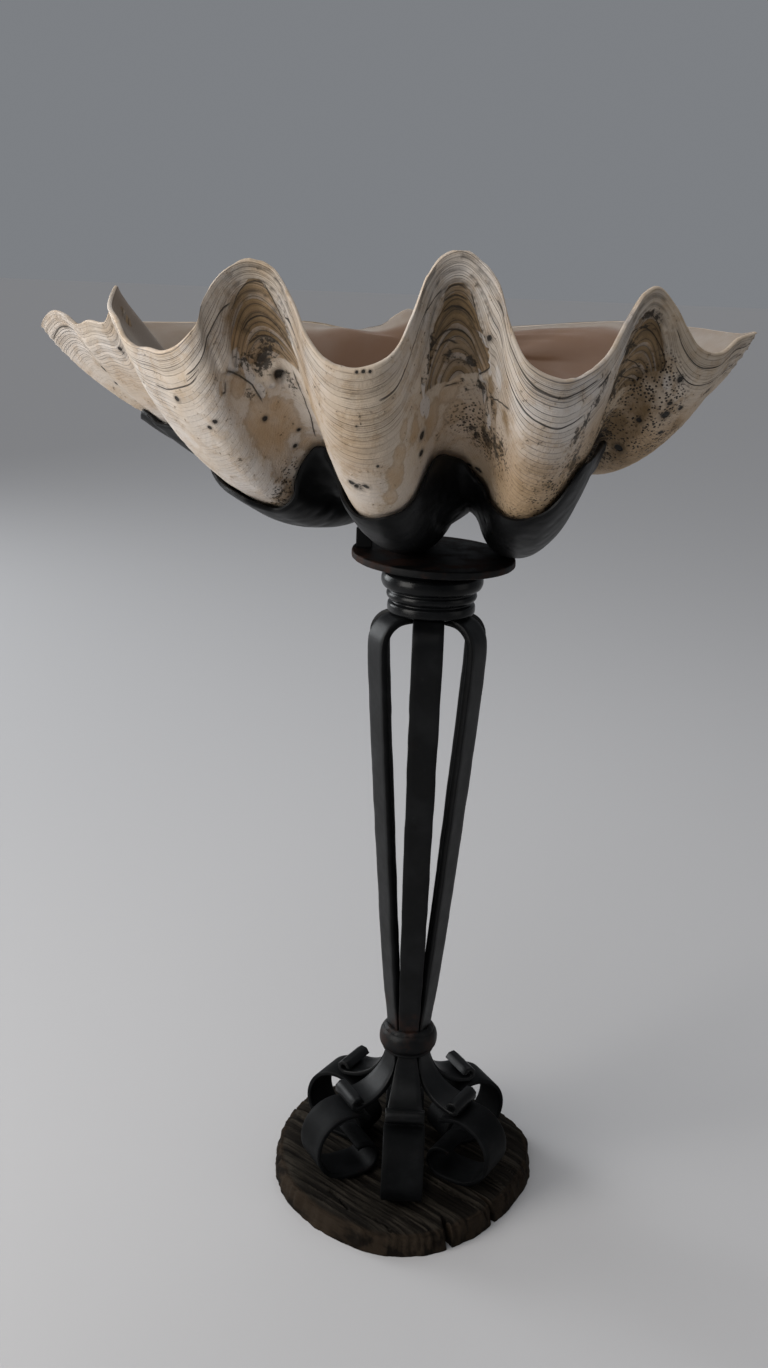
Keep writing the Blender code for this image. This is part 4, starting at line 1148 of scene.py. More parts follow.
def outside_marks(share, turn, groove, shade):
    """Numbers that the shell's finish reads, at each point of its outside."""
    wobble = 0.0025 * soft_noise(side_by_side(share * 120, turn, 0), 71)
    parts = np.linspace(0, 1, 9)
    long_lines = [
        [(first + (last - first) * part, depth + 0.0015 * math.sin(9 * part)) for part in parts]
        for first, last, depth in LONG_LINES
    ]
    line, line_close = crease_marks(share, turn + wobble, long_lines)
    # Painted shade: tan over the right part of the front below the margin, where the light from the left
    # falls off
    right_side_shade = smooth_rise((turn - 0.07) / 0.2) * smooth_rise((share - 0.30) / 0.08)
    marks = {
        "growth": climb(share, turn),
        "inside": 0,
        "hollow": hollow_amount(share, turn),
        "right_side_shade": right_side_shade * smooth_rise((0.75 - share) / 0.1),
        "flank": groove * smooth_rise((0.20 - turn) / 0.1),
        # Painted shade at the ledges
        "ledge": shade,
        "line": line,
        "line_close": line_close,
        "low": 0,
    }
    for label, spots in STAINS.items():
        marks[label] = patches(share, turn, spots)
    for k, group in enumerate(apart(CREASES, CREASE_GAP)):
        marks[f"crease_{k}"], marks[f"close_{k}"] = crease_marks(share, turn, group)
    return marks


def make_shell(looks):
    """The valve as one closed body with relief on its outside."""
    margin, mean, inward = margin_lines()
    front = np.linspace(0, FRONT_END, FRONT_COLUMNS, endpoint=False)
    back = np.linspace(FRONT_END, 1, BACK_COLUMNS, endpoint=False)
    shares = np.concatenate([front, back])
    margin_at = at_shares(margin, shares)
    mean_at = at_shares(mean, shares)
    inward_at = at_shares(inward, shares)
    groove_at = groove_amount(margin_at, mean_at, inward_at)
    outer = np.array([sweep(margin_at, margin_at, UMBO, t) for t in OUTER_TURNS])
    normal = normals_of(outer, True)
    facing = outer[:FACING_ROWS]
    if ((facing - facing.reshape(-1, 3).mean(axis=0)) * normal[:FACING_ROWS]).sum() < 0:
        normal = -normal
    share_grid = np.broadcast_to(shares, outer.shape[:2])
    turn_grid = np.broadcast_to(OUTER_TURNS[:, None], outer.shape[:2])
    groove_grid = np.broadcast_to(groove_at, outer.shape[:2])
    relief, shade = ledge_relief(looks, share_grid, turn_grid, groove_grid, outer)
    outer = outer + relief[:, :, None] * normal
    inner = np.array([shell_inside(margin_at, mean_at, inward_at, t) for t in INNER_TURNS])
    ripple = 0.5 * np.sin(INNER_TURNS / 0.035)[:, None] + 1.2 * soft_noise(inner / 30.0, 51)
    inner[1:, :, 2] += (ripple * smooth_rise(INNER_TURNS / 0.1)[:, None])[1:]
    crest = sweep(margin_at, margin_at, UMBO, 0.0)
    drop = sum(fall * np.exp(-((margin_at[:, 0] - x) / half) ** 2) for x, half, fall in HINGE_NOTCHES)
    drop = drop * smooth_rise((margin_at[:, 1] - 150) / 30)
    crest[:, 2] -= drop
    outer[:, :, 2] -= drop * np.exp(-OUTER_TURNS / 0.05)[:, None]
    inner[:, :, 2] -= drop * np.exp(-INNER_TURNS / 0.05)[:, None]
    inner[:, :, 2] = without_dips(inner[:, :, 2])
    lips = lip_rows(outer[0], inner[0], crest, shares)
    rows = [*outer[::-1], *lips, *inner]
    count = len(shares)
    vertices = np.vstack([[UMBO]] + rows + [[UMBO + HINGE_PLATE]])
    faces = strip_faces(len(rows), count, closed_columns=True, start=1)
    end = 1 + (len(rows) - 1) * count
    for i in range(count):
        j = (i + 1) % count
        faces.append((0, 1 + j, 1 + i))
        faces.append((end + i, end + j, len(vertices) - 1))

    def column(outside_value, lip_value, inner_value):
        """One number for each vertex from those of the outside, the lip and the inside."""
        whole = np.concatenate([
            np.broadcast_to(outside_value, (len(outer), count))[::-1].ravel(),
            np.broadcast_to(lip_value, (len(lips), count)).ravel(),
            np.broadcast_to(inner_value, (len(inner), count)).ravel(),
        ])
        return np.concatenate([[whole[0]], whole, [whole[-1]]])

    marks = outside_marks(share_grid, turn_grid, groove_grid, shade)
    crease_groups = sum(label.startswith("crease_") for label in marks)
    # Marks that aren't 0 on the lip and the inside
    beyond = {
        "growth": (LIP_TURN, INNER_TURNS[:, None]),
        "inside": (0.3, 1),
        "low": (0, smooth_rise((INNER_TURNS[:, None] - 0.05) / 0.3)),
    }
    for label, value in marks.items():
        far = FAR_AWAY if label == "line" or label.startswith("crease_") else 0
        marks[label] = column(value, *beyond.get(label, (far, far)))
    pits = []
    for share, turn, radius in PITS:
        at = at_shares(margin, np.array([share]))
        pits.append((tuple(sweep(at, at, UMBO, turn)[0] * MM), radius * MM))
    finish = shell_finish(looks, pits, crease_groups)
    mesh_piece("dressed_clam_shell", vertices, faces, finish, ["clam_shell"], 0, marks)


def plate_top(x, y):
    """Height of the tilted plate's top."""
    return PLATE_TOP_Z + PLATE_SLOPE_X * x + PLATE_SLOPE_Y * y


def make_cradle(looks, finish):
    """Sheet iron beaten to the underside of the shell, with rounded edges and hammer marks."""
    margin, mean, inward = margin_lines()
    shares = np.linspace(-CRADLE_SPARE, CRADLE_END + CRADLE_SPARE, CRADLE_COLUMNS)
    margin_at = at_shares(margin, shares)
    mean_at = at_shares(mean, shares)
    inward_at = at_shares(inward, shares)
    groove = groove_amount(margin_at, mean_at, inward_at)
    wanted = np.clip(shares, 0, CRADLE_END)
    window = np.hanning(13)
    window /= window.sum()

    def smoothed(pairs):
        values = np.interp(wanted, *zip(*pairs))
        padded = np.pad(values, len(window) // 2, mode="edge")
        return np.convolve(padded, window, "valid")

    top, bottom, hang = smoothed(CRADLE_TOP), smoothed(CRADLE_BOTTOM), smoothed(CRADLE_HANG)
    parts = np.linspace(-1 / CRADLE_ROWS, 1 + 1 / CRADLE_ROWS, CRADLE_ROWS + 3)
    grid, standoff = [], []
    for part in parts:
        depth = smooth_rise(CRADLE_FILL_AT_TOP + (1 - CRADLE_FILL_AT_TOP) * part)
        row = margin_at - (CRADLE_GROOVE_FILL * groove * depth)[:, None] * inward_at
        turn = top + (bottom - top) * part
        grid.append(sweep(row, margin_at, UMBO, turn))
        standoff.append(CRADLE_STANDOFF + hang * depth)
    grid = np.array(grid)
    standoff = np.array(standoff)[:, :, None]
    normal = normals_of(grid, False)
    column = np.argmin(np.abs(shares - MIDDLE_RIB))
    if normal[len(grid) // 2, column, 2] > 0:
        normal = -normal
    inside = (shares >= 0) & (shares <= CRADLE_END)
    grid, standoff, normal = (a[1:-1, inside] for a in (grid, standoff, normal))
    rows, columns = grid.shape[:2]
    dents = rough_noise(grid / 13.0, 81) * looks.hammer_depth / MM
    # The edge is rounded: the two faces draw together over the sheet's outer rows and columns
    edge_rows = np.minimum(np.arange(rows), np.arange(rows)[::-1])[:, None]
    edge_columns = np.minimum(np.arange(columns), np.arange(columns)[::-1])[None, :]
    closeness = np.minimum(edge_rows, edge_columns).astype(float)
    narrow = np.clip(closeness / CRADLE_ROUNDED_ROWS, 0, 1)
    half = CRADLE_THICKNESS / 2 * (0.45 + 0.55 * np.sqrt(narrow))
    middle = standoff + CRADLE_THICKNESS / 2
    near = grid + (middle - half[:, :, None]) * normal
    far = grid + (middle + (half + np.clip(dents, -0.9, 0.0))[:, :, None]) * normal
    floor = plate_top(far[:, :, 0], far[:, :, 1]) + 0.3
    over_plate = np.hypot(far[:, :, 0], far[:, :, 1]) < PLATE_RADIUS + PLATE_CLEARANCE
    far[:, :, 2] = np.where(over_plate, np.maximum(far[:, :, 2], floor), far[:, :, 2])
    vertices = np.concatenate([near.reshape(-1, 3), far.reshape(-1, 3)])
    count = rows * columns
    faces = strip_faces(rows, columns)
    faces += [tuple(count + v for v in reversed(face)) for face in faces]
    edge = list(range(columns))
    edge += [k * columns + columns - 1 for k in range(1, rows)]
    edge += [(rows - 1) * columns + i for i in range(columns - 2, -1, -1)]
    edge += [k * columns for k in range(rows - 2, 0, -1)]
    for a, b in zip(edge, edge[1:] + edge[:1]):
        faces.append((a, count + a, count + b, b))
    mesh_piece("beaten_cradle", vertices, faces, finish, ["shell_cradle"], 60)


def rounded_section(outer_half, inner_half, thickness, radius, across=7):
    """Section of a flat bar with rounded corners: places across it and depths under its outer face."""
    points = []
    corner_in = radius * (1 - math.cos(math.radians(45)))
    for half, depth, side in ((outer_half, 0, 1), (inner_half, thickness, -1)):
        points.append((-side * half, depth + side * radius))
        points.append((-side * (half - corner_in), depth + side * corner_in))
        points += [(place, depth) for place in np.linspace(-half + radius, half - radius, across) * side]
        points.append((side * (half - corner_in), depth + side * corner_in))
        points.append((side * half, depth + side * radius))
    return np.array(points)


def bar_stations():
    """Stations of a bar, top end to rolled foot: outer face (r, z), outward normal, thickness and width."""
    stations = []
    _, top_r, top_width = BAR_PROFILE[0]
    bend_z = BAR_TOP_Z - BAR_TOP_BEND
    bend_r = top_r - BAR_TOP_BEND
    stations.append((BAR_TOP_END_R, BAR_TOP_Z, 0.0, 1.0, BAR_THICKNESS, top_width))
    for degrees in (90, 68, 45, 22, 0):
        a = math.radians(degrees)
        r = bend_r + BAR_TOP_BEND * math.cos(a)
        z = bend_z + BAR_TOP_BEND * math.sin(a)
        stations.append((r, z, math.cos(a), math.sin(a), BAR_THICKNESS, top_width))
    for i in range(1, len(BAR_PROFILE)):
        z, r, width = BAR_PROFILE[i]
        before, after = BAR_PROFILE[i - 1], BAR_PROFILE[min(i + 1, len(BAR_PROFILE) - 1)]
        slope = Vector((before[0] - after[0], -(before[1] - after[1]))).normalized()
        stations.append((r, z, slope.x, slope.y, BAR_THICKNESS, width))
    ramp_steps = 7
    for k in range(1, ramp_steps + 1):
        share = k / ramp_steps
        a = math.radians(180 + RAMP_SWEEP_DEGREES * share)
        r = RAMP_CENTRE[0] + RAMP_REACH * math.cos(a)
        z = RAMP_CENTRE[1] + RAMP_DROP * math.sin(a)
        out = Vector((-math.cos(a) / RAMP_REACH, -math.sin(a) / RAMP_DROP)).normalized()
        thickness = BAR_THICKNESS + (RAMP_END_THICKNESS - BAR_THICKNESS) * share
        width = NECK_WIDTH + (RAMP_END_WIDTH - NECK_WIDTH) * share ** 0.8
        stations.append((r, z, out.x, out.y, thickness, width))
    half = RAMP_END_THICKNESS / 2
    centre_r = stations[-1][0]
    centre_z = stations[-1][1] - half + ROLL_RADIUS
    for degrees in (-52, -10, 35, 80, 125, 170):
        a = math.radians(degrees)
        reach = ROLL_RADIUS - half
        r = centre_r + reach * math.cos(a)
        z = centre_z + reach * math.sin(a)
        stations.append((r, z, -math.cos(a), -math.sin(a), RAMP_END_THICKNESS, RAMP_END_WIDTH))
    return stations


def bar_degrees(k):
    """Direction of a bar and its foot from the column's axis."""
    return FIRST_BAR_DEGREES + 360 / BARS * k


def turned(points, degrees):
    """Points of a bar's own plane turned about the column's axis."""
    a = math.radians(degrees)
    x = points[:, 0] * math.cos(a) - points[:, 1] * math.sin(a)
    y = points[:, 0] * math.sin(a) + points[:, 1] * math.cos(a)
    return side_by_side(x + COLUMN_X, y, points[:, 2])


def capped_tube(sections):
    """Vertices and faces of a body from closed sections in a row, closed at both ends."""
    rows, columns = sections.shape[:2]
    vertices = sections.reshape(-1, 3)
    faces = strip_faces(rows, columns, closed_columns=True)
    faces.append(tuple(range(columns))[::-1])
    faces.append(tuple((rows - 1) * columns + i for i in range(columns)))
    return vertices, faces


def make_bars(finish):
    """Six forged flat bars with softened edges and small hammer flats."""
    stations = smooth_curve(bar_stations(), BAR_ROWS, False, 2)
    side = math.tan(math.pi / BARS)
    for k in range(BARS):
        sections = []
        for r, z, out_r, out_z, thickness, width in stations:
            length = math.hypot(out_r, out_z)
            out_r, out_z = out_r / length, out_z / length
            inner_r = r - out_r * thickness
            outer_half = min(width / 2, r * side - BAR_SIDE_GAP / 2)
            inner_half = min(width / 2, inner_r * side - BAR_SIDE_GAP / 2)
            section = rounded_section(outer_half, inner_half, thickness, BAR_CORNER)
            depth = section[:, 1]
            sections.append(side_by_side(r - out_r * depth, section[:, 0], z - out_z * depth))
        sections = np.array(sections)
        flats = 0.35 * rough_noise(sections / 15.0 + 30 * k, 91)
        flank = np.sign(sections[..., 1])
        edges = 0.4 * soft_noise(side_by_side(sections[..., 2] / 16, k, flank), 92)
        wide = np.abs(sections[..., 1]) / 14
        sections[..., 0] -= np.clip(flats + 0.35, 0, 0.8)
        sections[..., 1] -= flank * np.clip(edges + 0.2, 0, 0.6) * wide
        vertices, faces = capped_tube(sections)
        vertices = turned(vertices, bar_degrees(k))
        name, node = f"forged_bar_{k + 1}", f"column_bar_{k + 1}"
        mesh_piece(name, vertices, faces, finish, [node], 60)


def arc(centre, radius, first, last, count):
    """Points of a circle between two directions in degrees."""
    angles = np.radians(np.linspace(first, last, count))
    return [(centre[0] + radius * math.cos(a), centre[1] + radius * math.sin(a)) for a in angles]


def make_feet(finish):
    """Six straps rolled to a hoop with an inner curl."""
    half = STRAP_THICKNESS / 2
    curl_centre = (CURL_CENTRE_R, HOOP_CENTRE[1] - HOOP_RADIUS + CURL_RADIUS)
    hoop = arc(HOOP_CENTRE, HOOP_RADIUS - half, *HOOP_ENDS, 28)
    curl = arc(curl_centre, CURL_RADIUS - half, *CURL_ENDS, 18)
    path = smooth_curve(hoop + curl, STRAP_ROWS, False, 2)
    along = np.gradient(path, axis=0)
    along /= np.linalg.norm(along, axis=1)[:, None]
    for k in range(BARS):
        sections = []
        for (r, z), (dr, dz) in zip(path, along):
            section = rounded_section(STRAP_WIDTH / 2, STRAP_WIDTH / 2, STRAP_THICKNESS, STRAP_CORNER, 9)
            depth = section[:, 1] - half
            sections.append(side_by_side(r - dz * depth, section[:, 0], z + dr * depth))
        sections = np.array(sections)
        dents = 0.3 * rough_noise(sections / 14.0 + 40 * k, 95)
        sections[..., 1] *= 1 - 0.008 - 0.008 * soft_noise(sections / 25.0 + 9 * k, 96)
        sections[..., 0] += dents * 0.5
        vertices, faces = capped_tube(sections)
        vertices = turned(vertices, bar_degrees(k))
        name, node = f"rolled_foot_{k + 1}", f"foot_scroll_{k + 1}"
        mesh_piece(name, vertices, faces, finish, [node], 60)


def lathe(profile, steps, closed):
    """Points of a profile turned about the axis, and faces: a closed profile leaves a bore."""
    angles = np.linspace(0, 2 * math.pi, steps, endpoint=False)
    rows = [side_by_side(r * np.cos(angles), r * np.sin(angles), z) for r, z in profile]
    vertices = np.array(rows).reshape(-1, 3)
    faces = strip_faces(len(profile), steps, closed_rows=closed, closed_columns=True)
    if not closed:
        faces.append(tuple(range(steps))[::-1])
        faces.append(tuple((len(profile) - 1) * steps + i for i in range(steps)))
    return vertices, faces


def make_collars(iron, polished):
    """The neck ring, slightly uneven, and the turned collar under the plate."""
    vertices, faces = lathe(smooth_curve(NECK_RING_PROFILE, 60, True, 2), 150, True)
    uneven = 0.35 * rough_noise(vertices / 9.0, 101)
    away = np.hypot(vertices[:, 0], vertices[:, 1])
    pull = (np.clip(uneven, -0.6, 0) / away)[:, None]
    vertices[:, :2] *= 1 + pull
    vertices[:, 0] += COLUMN_X
    mesh_piece("forged_neck_ring", vertices, faces, iron, ["neck_ring"], 50)
    vertices, faces = lathe(smooth_curve(NECK_WELD_PROFILE, 28, True, 2), 150, True)
    away = np.hypot(vertices[:, 0], vertices[:, 1])
    uneven = 0.7 * rough_noise(vertices / 5.0, 103)
    vertices[:, :2] *= (1 + np.clip(uneven, -1.0, 0.4) / away)[:, None]
    vertices[:, 2] += 0.8 * soft_noise(vertices / 6.0, 104)
    vertices[:, 0] += COLUMN_X
    mesh_piece("neck_weld", vertices, faces, iron, [], 60)
    vertices, faces = lathe(smooth_curve(COLLAR_PROFILE, 96, False, 2), 160, False)
    under = plate_top(vertices[:, 0], vertices[:, 1]) - PLATE_THICKNESS - 0.3
    vertices[:, 2] = np.where(vertices[:, 2] > 625, np.minimum(vertices[:, 2], under), vertices[:, 2])
    mesh_piece("turned_collar", vertices, faces, polished, ["collar"], 40)


def make_plate(finish):
    """A round plate with a softened, slightly eaten edge."""
    turns = np.linspace(0, math.pi / 2, 6)
    inset = PLATE_RADIUS - PLATE_CORNER
    profile = [(0.01, 0.0), (30, 0.0), (55, 0.0), (PLATE_RIM_FROM, 0.0)]
    profile += [(inset + PLATE_CORNER * math.sin(a), PLATE_CORNER * (math.cos(a) - 1)) for a in turns]
    low = PLATE_CORNER - PLATE_THICKNESS
    profile += [(inset + PLATE_CORNER * math.cos(a), low - PLATE_CORNER * math.sin(a)) for a in turns]
    profile += [(60, -PLATE_THICKNESS), (40, -PLATE_THICKNESS)]
    vertices, faces = lathe(profile, 220, False)
    away = np.hypot(vertices[:, 0], vertices[:, 1])
    rim = smooth_rise((away - PLATE_RIM_FROM) / 6)
    eaten = rim * np.clip(0.25 + 0.4 * rough_noise(vertices / 7.0, 111), 0, 0.9)
    vertices[:, :2] *= (1 - eaten / np.maximum(away, 1))[:, None]
    vertices[:, 2] += plate_top(vertices[:, 0], vertices[:, 1])
    mesh_piece("worn_plate", vertices, faces, finish, ["top_plate"], 50)


def make_post(finish):
    """The short strip between plate and cradle, with softened edges."""
    low, high = (np.array(corner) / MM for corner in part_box("cradle_post"))
    bm = bmesh.new()
    bmesh.ops.create_cube(bm, size=1.0)
    for vertex in bm.verts:
        for k in range(3):
            vertex.co[k] = (low[k] + high[k]) / 2 + vertex.co[k] * (high[k] - low[k])
    bmesh.ops.bevel(bm, geom=bm.edges[:], offset=0.8, segments=3, affect="EDGES")
    vertices = [tuple(v.co) for v in bm.verts]
    faces = [tuple(v.index for v in f.verts) for f in bm.faces]
    bm.free()
    mesh_piece("plate_strip", vertices, faces, finish, ["cradle_post"], 30)


def base_edge(degrees):
    """Radius of the wood disc in each direction, with its notches, in millimetres."""
    corners = np.arange(len(BASE_RADII) + 1) * 360 / len(BASE_RADII)
    rim = np.interp(degrees % 360, corners, np.append(BASE_RADII, BASE_RADII[0]))
    direction = np.radians(degrees)
    worn = 1.1 * rough_noise(side_by_side(np.cos(direction) * 16, np.sin(direction) * 16, 0), 121)
    rim = rim - np.clip(worn + 0.8, 0, 3)
    for middle, depth, width in RIM_CRACKS:
        away = np.abs((degrees - middle + 180) % 360 - 180) * math.pi / 180 * rim
        rim = rim - depth * np.clip(1 - away / (width / 2), 0, 1) ** 0.8
    return rim


def distance_to_line(places, corners):
    """Distance of each place from a line of several stretches."""
    nearest = np.full(places.shape[:-1], np.inf)
    for a, b in zip(corners, corners[1:]):
        a, b = np.array(a, dtype=float), np.array(b, dtype=float)
        part = np.clip(((places - a) @ (b - a)) / ((b - a) @ (b - a)), 0, 1)
        nearest = np.minimum(nearest, np.linalg.norm(places - (a + part[..., None] * (b - a)), axis=-1))
    return nearest


def make_base(looks):
    """The weathered disc: ridged grain, cracks, and a worn rim."""
    even = np.linspace(0, 360, BASE_COLUMNS, endpoint=False)
    extra = [direction + np.linspace(-1.6, 1.6, 15) for direction, _, _ in RIM_CRACKS]
    degrees = np.unique(np.round(np.concatenate([even] + extra) % 360, 4))
    count = len(degrees)
    rim = base_edge(degrees)
    shares = np.linspace(0.01, 1, BASE_TOP_ROWS)
    rows, furrows, rims, cracks = [], [], [], []
    turn = math.radians(GRAIN_DEGREES)
    level = np.radians(degrees)
    for share in shares:
        radius = (rim - BASE_ROUNDING) * share
        x, y = radius * np.cos(level), radius * np.sin(level)
        along = x * math.cos(turn) + y * math.sin(turn)
        across = -x * math.sin(turn) + y * math.cos(turn)
        bend = 3.0 * soft_noise(side_by_side(along / 60, across / 60, 0), 131)
        ridges = rough_noise(side_by_side(along / 95, (across + bend) / 3.6, 0), 132)
        broad = soft_noise(side_by_side(along / 120, (across + bend) / 13, 5), 133)
        furrow = smooth_rise(0.62 - ridges) ** 1.4
        depth = looks.grain_depth / MM * (0.75 * furrow + 0.35 * (0.5 - 0.5 * broad))
        wavy = side_by_side(x, y) + 0.8 * soft_noise(side_by_side(x / 5, y / 5, 0), 134)[:, None]
        crack = np.zeros(count)
        for corners, half in TOP_CRACKS:
            crack = np.maximum(crack, np.clip(1.3 - distance_to_line(wavy, corners) / half, 0, 1))
        worn = 2.2 * smooth_rise((share - 0.90) / 0.10) ** 2
        z = BASE_TOP - 0.1 - depth - TOP_CRACK_DEPTH * crack - worn
        rows.append(side_by_side(x, y, z))
        furrows.append(furrow)
        rims.append(np.full(count, smooth_rise((share - 0.965) / 0.03)))
        cracks.append(crack)
    top, top_furrow, top_crack = rows[-1][:, 2], furrows[-1], cracks[-1]
    for part in np.linspace(0, 1, BASE_RIM_ROWS)[1:]:
        swell = math.sin(math.pi * min(part * 2.2, 1) / 2) * BASE_ROUNDING
        streak = 1.1 * rough_noise(side_by_side(np.cos(level) * 26, np.sin(level) * 26, part * 2), 141)
        notch = top_furrow * 4.2 * (1 - part) ** 0.7
        worn = (np.clip(streak + 0.5, 0, 2.2) + notch) * math.sin(math.pi * min(max(part, 0.15), 0.9))
        radius = rim - BASE_ROUNDING + swell - worn
        z = (top - 0.4) * (1 - part) + 0.1 * part
        rows.append(side_by_side(radius * np.cos(level), radius * np.sin(level), z))
        furrows.append(smooth_rise(0.3 + streak))
        rims.append(np.ones(count))
        cracks.append(top_crack * 0.8)
    vertices = np.vstack([[[0, 0, BASE_TOP - 0.8]]] + rows)
    faces = strip_faces(len(rows), count, closed_columns=True, start=1)
    faces += [(0, 1 + i, 1 + (i + 1) % count) for i in range(count)]
    faces.append(tuple(1 + (len(rows) - 1) * count + i for i in range(count)))
    # The finish darkens the furrows and cracks with painted shade
    marks = {
        "furrow": np.concatenate([[0.5]] + furrows),
        "rim": np.concatenate([[0.0]] + rims),
        "crack": np.concatenate([[0.0]] + cracks),
    }
    finish = wood_finish(looks)
    mesh_piece("weathered_base", vertices, faces, finish, ["wood_base"], 0, marks)


def make_light(name, power, size, place, target, colour):
    """A rectangular panel of light that points at a target."""
    light = bpy.data.lights.new(name, "AREA")
    light.shape = "RECTANGLE"
    light.size, light.size_y = size
    light.energy = power
    light.color = colour
    lamp = bpy.data.objects.new(name, light)
    lamp.location = place
    lamp.rotation_euler = (Vector(target) - Vector(place)).to_track_quat("-Z", "Y").to_euler()
    bpy.context.scene.collection.objects.link(lamp)


def make_sun(power):
    """A wide, even sun."""
    sun = bpy.data.lights.new("soft sun", "SUN")
    sun.energy = power
    sun.angle = math.radians(SUN_SPREAD)
    lamp = bpy.data.objects.new("soft sun", sun)
    lamp.rotation_euler = (math.radians(SUN_TILT), 0.0, math.radians(SUN_TURN))
    bpy.context.scene.collection.objects.link(lamp)


def make_stage(looks):
    """A pale floor, even light from all round and the lights."""
    corners = [(FLOOR_REACH * x, FLOOR_REACH * y, 0) for x, y in ((-1, -1), (1, -1), (1, 1), (-1, 1))]
    mesh = bpy.data.meshes.new("floor")
    mesh.from_pydata(corners, [], [(0, 1, 2, 3)])
    mesh.materials.append(floor_finish(looks))
    floor = bpy.data.objects.new("floor", mesh)
    bpy.context.scene.collection.objects.link(floor)
    world = bpy.data.worlds.new("surround")
    world.use_nodes = True
    background = world.node_tree.nodes["Background"]
    background.inputs["Color"].default_value = tuple(looks.surround) + (1.0,)
    background.inputs["Strength"].default_value = looks.surround_strength
    bpy.context.scene.world = world
    middle = (0.0, 0.0, 0.55)
    make_light("key light", looks.key_power, (1.0, 1.4), (-1.60, -0.95, 1.00), middle, WARM_WHITE)
    make_light("fill light", looks.fill_power, (1.0, 1.6), (1.6, -0.6, 1.0), middle, WARM_WHITE)
    make_light("rim light", looks.rim_power, (1.6, 2.4), (-3.2, 1.9, 1.5), (0.0, 0.0, 0.45), COOL_WHITE)
    make_sun(looks.sun_strength)
    make_light("top light", looks.top_power, (1.2, 1.2), (0.2, 0.9, 2.2), middle, WHITE)


def make_camera():
    """The camera, at the photograph's angle."""
    pitch, yaw, roll = (math.radians(a) for a in (CAMERA_PITCH, CAMERA_YAW, CAMERA_ROLL))
    eye = CAMERA_EYE
    ahead = Vector((math.sin(yaw) * math.cos(pitch), math.cos(yaw) * math.cos(pitch), -math.sin(pitch)))
    level = Vector((math.cos(yaw), -math.sin(yaw), 0.0))
    upright = level.cross(ahead)
    right = math.cos(roll) * level + math.sin(roll) * upright
    up = -math.sin(roll) * level + math.cos(roll) * upright
    lens = bpy.data.cameras.new("camera")
    lens.sensor_width = CAMERA_SENSOR
    lens.lens = CAMERA_SENSOR * FOCAL_PIXELS / PICTURE_HEIGHT_PIXELS
    lens.clip_end = 50.0
    camera = bpy.data.objects.new("camera", lens)
    camera.matrix_world = Matrix((
        (right[0], up[0], -ahead[0], eye[0]),
        (right[1], up[1], -ahead[1], eye[1]),
        (right[2], up[2], -ahead[2], eye[2]),
        (0, 0, 0, 1),
    ))
    bpy.context.scene.collection.objects.link(camera)
    bpy.context.scene.camera = camera


class CLAM_OT_shell(Operator):
    """Build the shell"""

    bl_idname = "clam.shell"
    bl_label = "Shell"

    def execute(self, context):
        make_shell(context.scene.clam_shell_looks)
        return {"FINISHED"}


class CLAM_OT_cradle(Operator):
    """Build the beaten cradle and its strip"""

    bl_idname = "clam.cradle"
    bl_label = "Cradle"

    def execute(self, context):
        looks = context.scene.clam_iron_looks
        sheet = iron_finish(looks, "beaten sheet", 0.10, 0.34, hammered=0.9 * MM)
        make_cradle(looks, sheet)
        make_post(iron_finish(looks, "strip iron", 0.2, 0.40))
        return {"FINISHED"}


class CLAM_OT_column(Operator):
    """Build the six bars"""

    bl_idname = "clam.column"
    bl_label = "Bars"

    def execute(self, context):
        make_bars(iron_finish(context.scene.clam_iron_looks, "forged iron", 0.05, 0.30, shine=0.15))
        return {"FINISHED"}


class CLAM_OT_feet(Operator):
    """Build the six rolled feet"""

    bl_idname = "clam.feet"
    bl_label = "Feet"

    def execute(self, context):
        make_feet(iron_finish(context.scene.clam_iron_looks, "strap iron", 0.12, 0.46, shine=0.06))
        return {"FINISHED"}


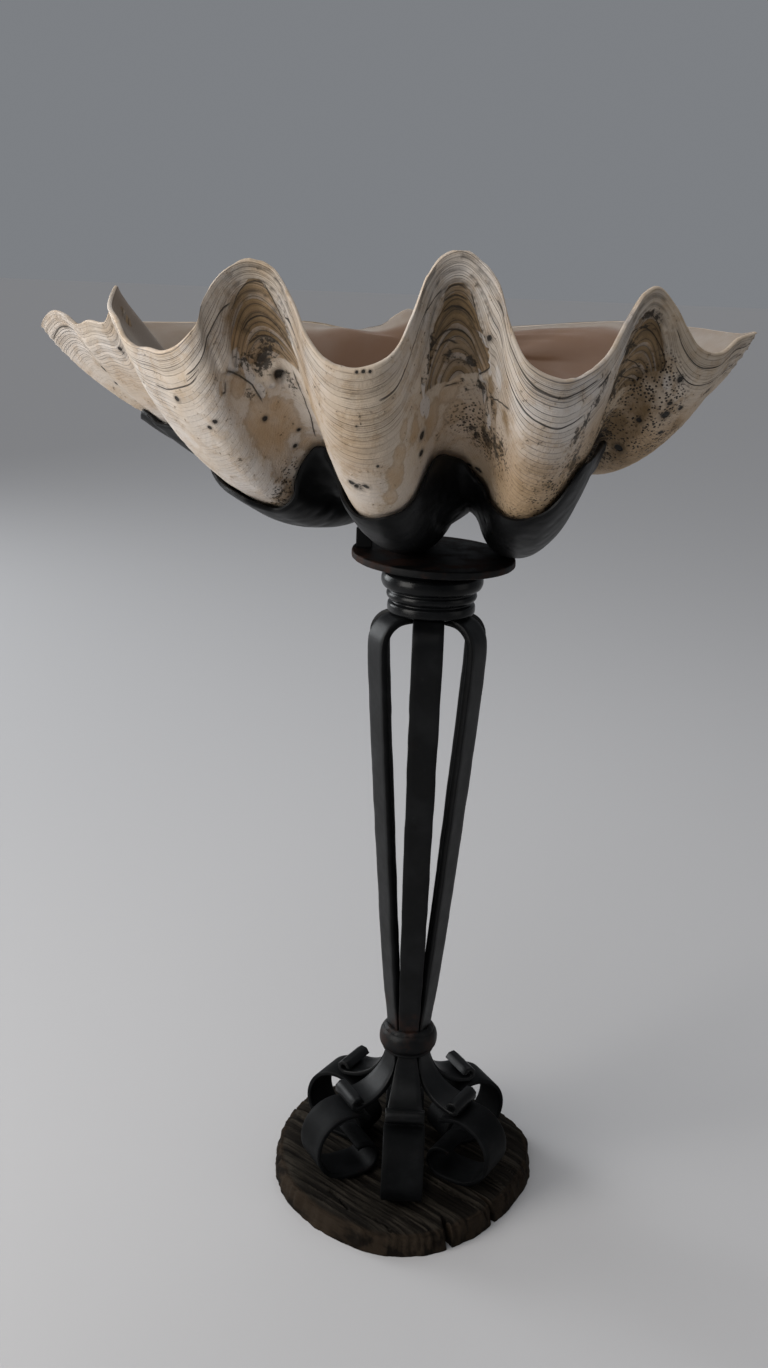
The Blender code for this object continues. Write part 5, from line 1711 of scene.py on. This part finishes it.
class CLAM_OT_collars(Operator):
    """Build the neck ring, the collar and the plate"""

    bl_idname = "clam.collars"
    bl_label = "Ring, collar and plate"

    def execute(self, context):
        looks = context.scene.clam_iron_looks
        iron = iron_finish(looks, "ring iron", 0.10, 0.34)
        make_collars(iron, iron_finish(looks, "polished iron", 0.0, 0.14))
        make_plate(iron_finish(looks, "rusty iron", 0.75, 0.42))
        return {"FINISHED"}


class CLAM_OT_base(Operator):
    """Build the wood base"""

    bl_idname = "clam.base"
    bl_label = "Wood base"

    def execute(self, context):
        make_base(context.scene.clam_wood_looks)
        return {"FINISHED"}


class CLAM_OT_stage(Operator):
    """Build the floor, the lights and the camera"""

    bl_idname = "clam.stage"
    bl_label = "Stage"

    def execute(self, context):
        make_stage(context.scene.clam_stage_looks)
        make_camera()
        return {"FINISHED"}


OPERATORS = (
    CLAM_OT_shell, CLAM_OT_cradle, CLAM_OT_column, CLAM_OT_feet, CLAM_OT_collars, CLAM_OT_base, CLAM_OT_stage,
)


class CLAM_PT_pieces(Panel):
    """List the pieces"""

    bl_idname = "CLAM_PT_pieces"
    bl_label = "Mounted giant clam shell"
    bl_space_type = "VIEW_3D"
    bl_region_type = "UI"
    bl_category = "Clam shell"

    def draw(self, context):
        for operator in OPERATORS:
            self.layout.operator(operator.bl_idname)


LOOKS = {
    "clam_shell_looks": ClamShellLooks,
    "clam_iron_looks": ClamIronLooks,
    "clam_wood_looks": ClamWoodLooks,
    "clam_stage_looks": ClamStageLooks,
}


def register():
    for group in (*LOOKS.values(), *OPERATORS, CLAM_PT_pieces):
        bpy.utils.register_class(group)
    for name, group in LOOKS.items():
        setattr(bpy.types.Scene, name, PointerProperty(type=group))


def unregister():
    for name in LOOKS:
        delattr(bpy.types.Scene, name)
    for group in (CLAM_PT_pieces, *reversed(OPERATORS), *reversed(LOOKS.values())):
        bpy.utils.unregister_class(group)


def main():
    register()
    bpy.context.scene.view_settings.view_transform = "Standard"
    bpy.ops.clam.shell()
    bpy.ops.clam.cradle()
    bpy.ops.clam.column()
    bpy.ops.clam.feet()
    bpy.ops.clam.collars()
    bpy.ops.clam.base()
    bpy.ops.clam.stage()


if __name__ == "__main__":
    main()
